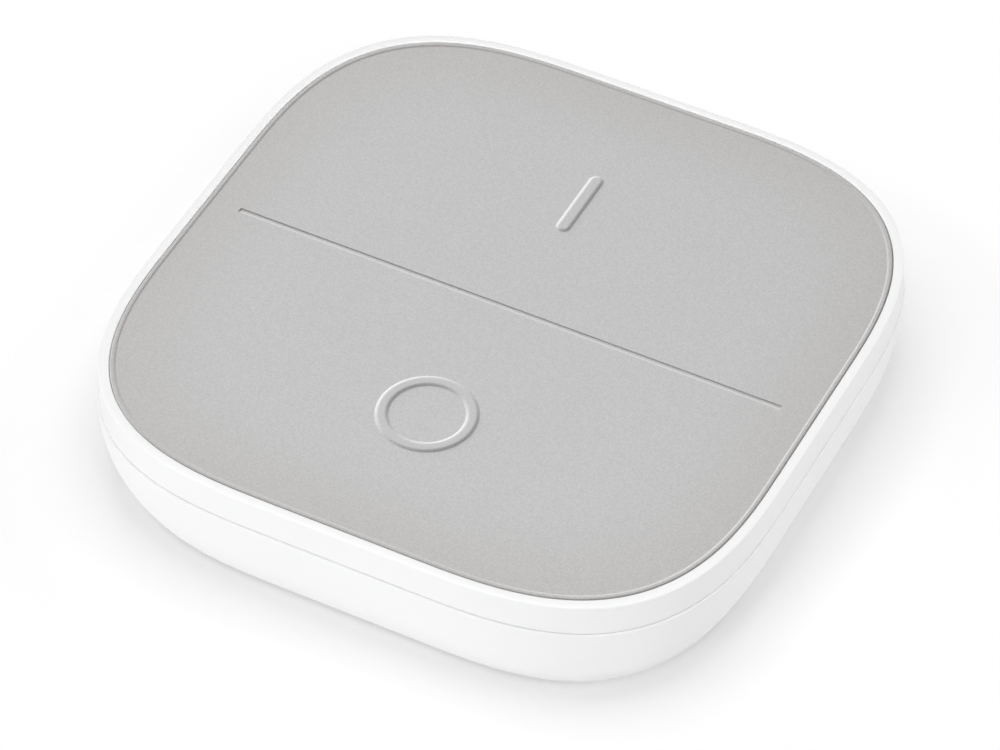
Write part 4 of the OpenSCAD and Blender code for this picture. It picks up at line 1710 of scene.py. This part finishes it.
    def build(self) -> None:
        """Builds cells and springs, and dresses the cradle and contacts."""
        self.cell("battery_cell_1", 1)
        self.cell("battery_cell_2", -1)
        self.spring("link_spring", 1)
        self.spring("negative_spring", -1)
        dress("battery_cradle", BLACK_PLASTIC, self.cradle_edge)
        for node in ("positive_contact", "negative_contact", "link_contact"):
            dress(node, NICKEL, self.contact_edge)


# Circuit

@dataclass
class Circuit:
    """The board, its switches, radio and small parts.

    Attributes:
        edge: rounding of the moulded parts' edges.
    """

    edge: float = 0.08

    def build(self) -> None:
        """Dresses every piece on the board."""
        dress("circuit_board", MAIN_BOARD)
        dress("board_screws", SCREW_STEEL, self.edge)
        for side in KeySide:
            name = side.name.lower()
            dress(f"{name}_switch_base", BLACK_PLASTIC, self.edge)
            dress(f"{name}_switch_cover", NICKEL)
            dress(f"{name}_switch_dome", NICKEL)
            dress(f"{name}_switch_stem", BLACK_PLASTIC, self.edge)
        dress("switch_leads", NICKEL)
        dress("radio_board", RADIO_MASK)
        dress("radio_shield", NICKEL, self.edge)
        dress("antenna_trace", GOLD)
        dress("power_converter", CHIP_EPOXY, self.edge)
        dress("power_inductor", FERRITE, self.edge)
        dress("clock_crystal", NICKEL, self.edge)
        dress("chip_capacitors", CAPACITORS, self.edge / 2)
        dress("chip_resistors", RESISTORS, self.edge / 2)


# Studio

def direction(azimuth: float, elevation: float) -> Vector:
    """Unit vector towards a place, by its angle from +X towards +Y and its angle above the floor."""
    a, e = math.radians(azimuth), math.radians(elevation)
    return Vector((math.cos(a) * math.cos(e), math.sin(a) * math.cos(e), math.sin(e)))


@dataclass(frozen=True)
class Softbox:
    """Square area light that faces the button.

    Attributes:
        name: the lamp's name.
        azimuth: its angle from +X towards +Y.
        elevation: its angle above the floor.
        distance: its distance from the button, in metres.
        size: its side, in metres.
        power: its power in watts.
        flagging: which pieces it reaches.
    """

    name: str
    azimuth: float
    elevation: float
    distance: float
    size: float
    power: float
    flagging: Flagging

    def build(self, pads: Sequence[bpy.types.Object]) -> None:
        """Adds the lamp and flags it.

        Args:
            pads: the pieces that the flagging is about.
        """
        data = bpy.data.lights.new(self.name, "AREA")
        data.shape = "SQUARE"
        data.size = self.size
        data.energy = self.power
        lamp = bpy.data.objects.new(self.name, data)
        towards = direction(self.azimuth, self.elevation)
        lamp.location = towards * self.distance
        lamp.rotation_mode = "QUATERNION"
        lamp.rotation_quaternion = towards.to_track_quat("Z", "Y")
        lamp.visible_camera = False
        bpy.context.scene.collection.objects.link(lamp)
        group = bpy.data.collections.new(f"{self.name}_flagging")
        for pad in pads:
            group.objects.link(pad)
        for entry in group.collection_objects:
            entry.light_linking.link_state = self.flagging.value
        lamp.light_linking.receiver_collection = group
        log.info("lamp %s", self.name)


@dataclass
class Studio:
    """Camera, lamps, floor and the white round them.

    Attributes:
        azimuth: the camera's angle round the button, from the side that faces -Y.
        elevation: its angle above the floor.
        roll: its turn about its own line of sight.
        distance: its distance from the middle of the rim's plane, in millimetres.
        aim: how far to the left of and below that middle it aims, in millimetres.
        lens: its focal length in millimetres.
        sensor: width of its sensor in millimetres.
        sight: how far it sees, in metres.
        target_z: height of the rim's plane.
        sky: strength of the surrounding light.
        floor_side: side of the floor, in metres.
        floor_colour: how much light the floor gives back.
        floor_lift: glow of the floor, which lights the sides from below.
        contact_lift: glow of the floor where the base cover shades it most.
        contact: half widths of the rounded square over which that glow ends.
        floor_white: half widths of the rounded square outside which the floor turns white where it is seen.
        floor_power: power of that rounded square.
        lamps: the softboxes.
    """

    azimuth: float = 27.456
    elevation: float = 45.979
    roll: float = -0.124
    distance: float = 586.95
    aim: Flat = (0.562, 7.789)
    lens: float = 186.997
    sensor: float = 36.0
    sight: float = 100.0
    target_z: float = 15.8
    sky: float = 0.3
    floor_side: float = 12.0
    floor_colour: float = 0.88
    floor_lift: float = 0.07
    contact_lift: float = 0.19
    contact: Flat = (36.8, 39.0)
    floor_white: Flat = (44.0, 57.0)
    floor_power: float = 3.9
    lamps: tuple[Softbox, ...] = (
        Softbox("relief_key", 151.0, 18.5, 6.0, 3.0, 706.0, Flagging.PADS_ONLY),
        Softbox("pad_fill", 311.0, 65.0, 0.13, 0.06, 0.014, Flagging.PADS_ONLY),
        Softbox("front_key", 252.0, 11.0, 1.0, 0.36, 3.5, Flagging.PADS_SHADED),
        Softbox("side_fill", 18.0, 11.0, 1.0, 0.36, 1.9, Flagging.PADS_SHADED),
        Softbox("overhead", 0.0, 90.0, 1.0, 1.0, 7.7, Flagging.PADS_SHADED),
    )

    def camera(self) -> None:
        """Adds the camera at the photograph's viewing angle."""
        a, e, roll = (math.radians(angle) for angle in (self.azimuth, self.elevation, self.roll))
        back = Vector((math.sin(a) * math.cos(e), -math.cos(a) * math.cos(e), math.sin(e)))
        level = Vector((math.cos(a), math.sin(a), 0.0))
        upright = back.cross(level)
        right = level * math.cos(roll) + upright * math.sin(roll)
        up = upright * math.cos(roll) - level * math.sin(roll)
        target = Vector((0, 0, self.target_z)) - right * self.aim[0] - up * self.aim[1]
        place = target + back * self.distance
        data = bpy.data.cameras.new("camera")
        data.lens = self.lens
        data.sensor_width = self.sensor
        data.clip_end = self.sight
        camera = bpy.data.objects.new("camera", data)
        turned = Matrix((right, up, back)).transposed().to_4x4()
        camera.matrix_world = Matrix.Translation(place * MM) @ turned
        bpy.context.scene.collection.objects.link(camera)
        bpy.context.scene.camera = camera

    def seen(self, graph: Graph) -> Value:
        """Tells the rays that show the surroundings from those that only light the button.

        Args:
            graph: the graph that asks.

        Returns:
            1 for rays from the camera, in gloss and through clear pieces, and 0 for others.
        """
        camera, gloss, clear = (
            graph.add("ShaderNodeLightPath", output=f"Is {kind} Ray")
            for kind in ("Camera", "Glossy", "Transmission")
        )
        return camera.larger(gloss).larger(clear)

    def world(self) -> None:
        """Makes the surroundings: white where they are seen, and a plain soft light."""
        made = bpy.data.worlds.new("white_studio")
        made.use_nodes = True
        bpy.context.scene.world = made
        graph = Graph(made.node_tree)
        strength = self.sky + self.seen(graph) * (1 - self.sky)
        white = graph.add("ShaderNodeBackground", inputs={"Color": (1.0, 1.0, 1.0), "Strength": strength})
        graph.add("ShaderNodeOutputWorld", inputs={"Surface": white})

    def floor(self) -> None:
        """Adds the pale floor, which keeps the button's shadow."""
        half = self.floor_side / 2
        data = bpy.data.meshes.new("floor")
        corners = [(-half, -half, 0), (half, -half, 0), (half, half, 0), (-half, half, 0)]
        data.from_pydata(corners, [], [(0, 1, 2, 3)])
        made = bpy.data.materials.new("pale_floor")
        made.use_nodes = True
        graph = Graph(made.node_tree)
        paper = graph.add("ShaderNodeBsdfDiffuse", inputs={"Color": (self.floor_colour,) * 3})
        spread = graph.spread(self.floor_power)
        glow = graph.mix(spread.step(*self.contact), (self.contact_lift,) * 3, (self.floor_lift,) * 3)
        lift = graph.add("ShaderNodeEmission", inputs={"Color": glow, "Strength": 1.0})
        lit = graph.add("ShaderNodeAddShader", inputs={0: paper, 1: lift})
        white = graph.add("ShaderNodeEmission", inputs={"Strength": 1.0})
        share = self.seen(graph) * spread.step(*self.floor_white)
        both = graph.add("ShaderNodeMixShader", inputs={0: share, 1: lit, 2: white})
        graph.add("ShaderNodeOutputMaterial", inputs={"Surface": both})
        data.materials.append(made)
        floor = bpy.data.objects.new("floor", data)
        bpy.context.scene.collection.objects.link(floor)

    def build(self) -> None:
        """Builds the studio."""
        bpy.context.scene.view_settings.view_transform = "Standard"
        self.camera()
        self.world()
        self.floor()

    def light(self, pads: Sequence[bpy.types.Object]) -> None:
        """Adds the lamps, once the pads that they are flagged for are there."""
        for lamp in self.lamps:
            lamp.build(pads)


def main() -> None:
    """Builds the studio, the button from the outside in, and then the lamps."""
    logging.basicConfig(level=logging.INFO, format="%(name)s: %(message)s")
    studio = Studio()
    studio.build()
    shell = Shell()
    keys = Keys(shell)
    for assembly in (UpperHousing(shell), BaseCover(shell), keys, Battery(), Circuit()):
        assembly.build()
        log.info("%s done", type(assembly).__name__)
    studio.light(keys.pads)


if __name__ == "__main__":
    main()
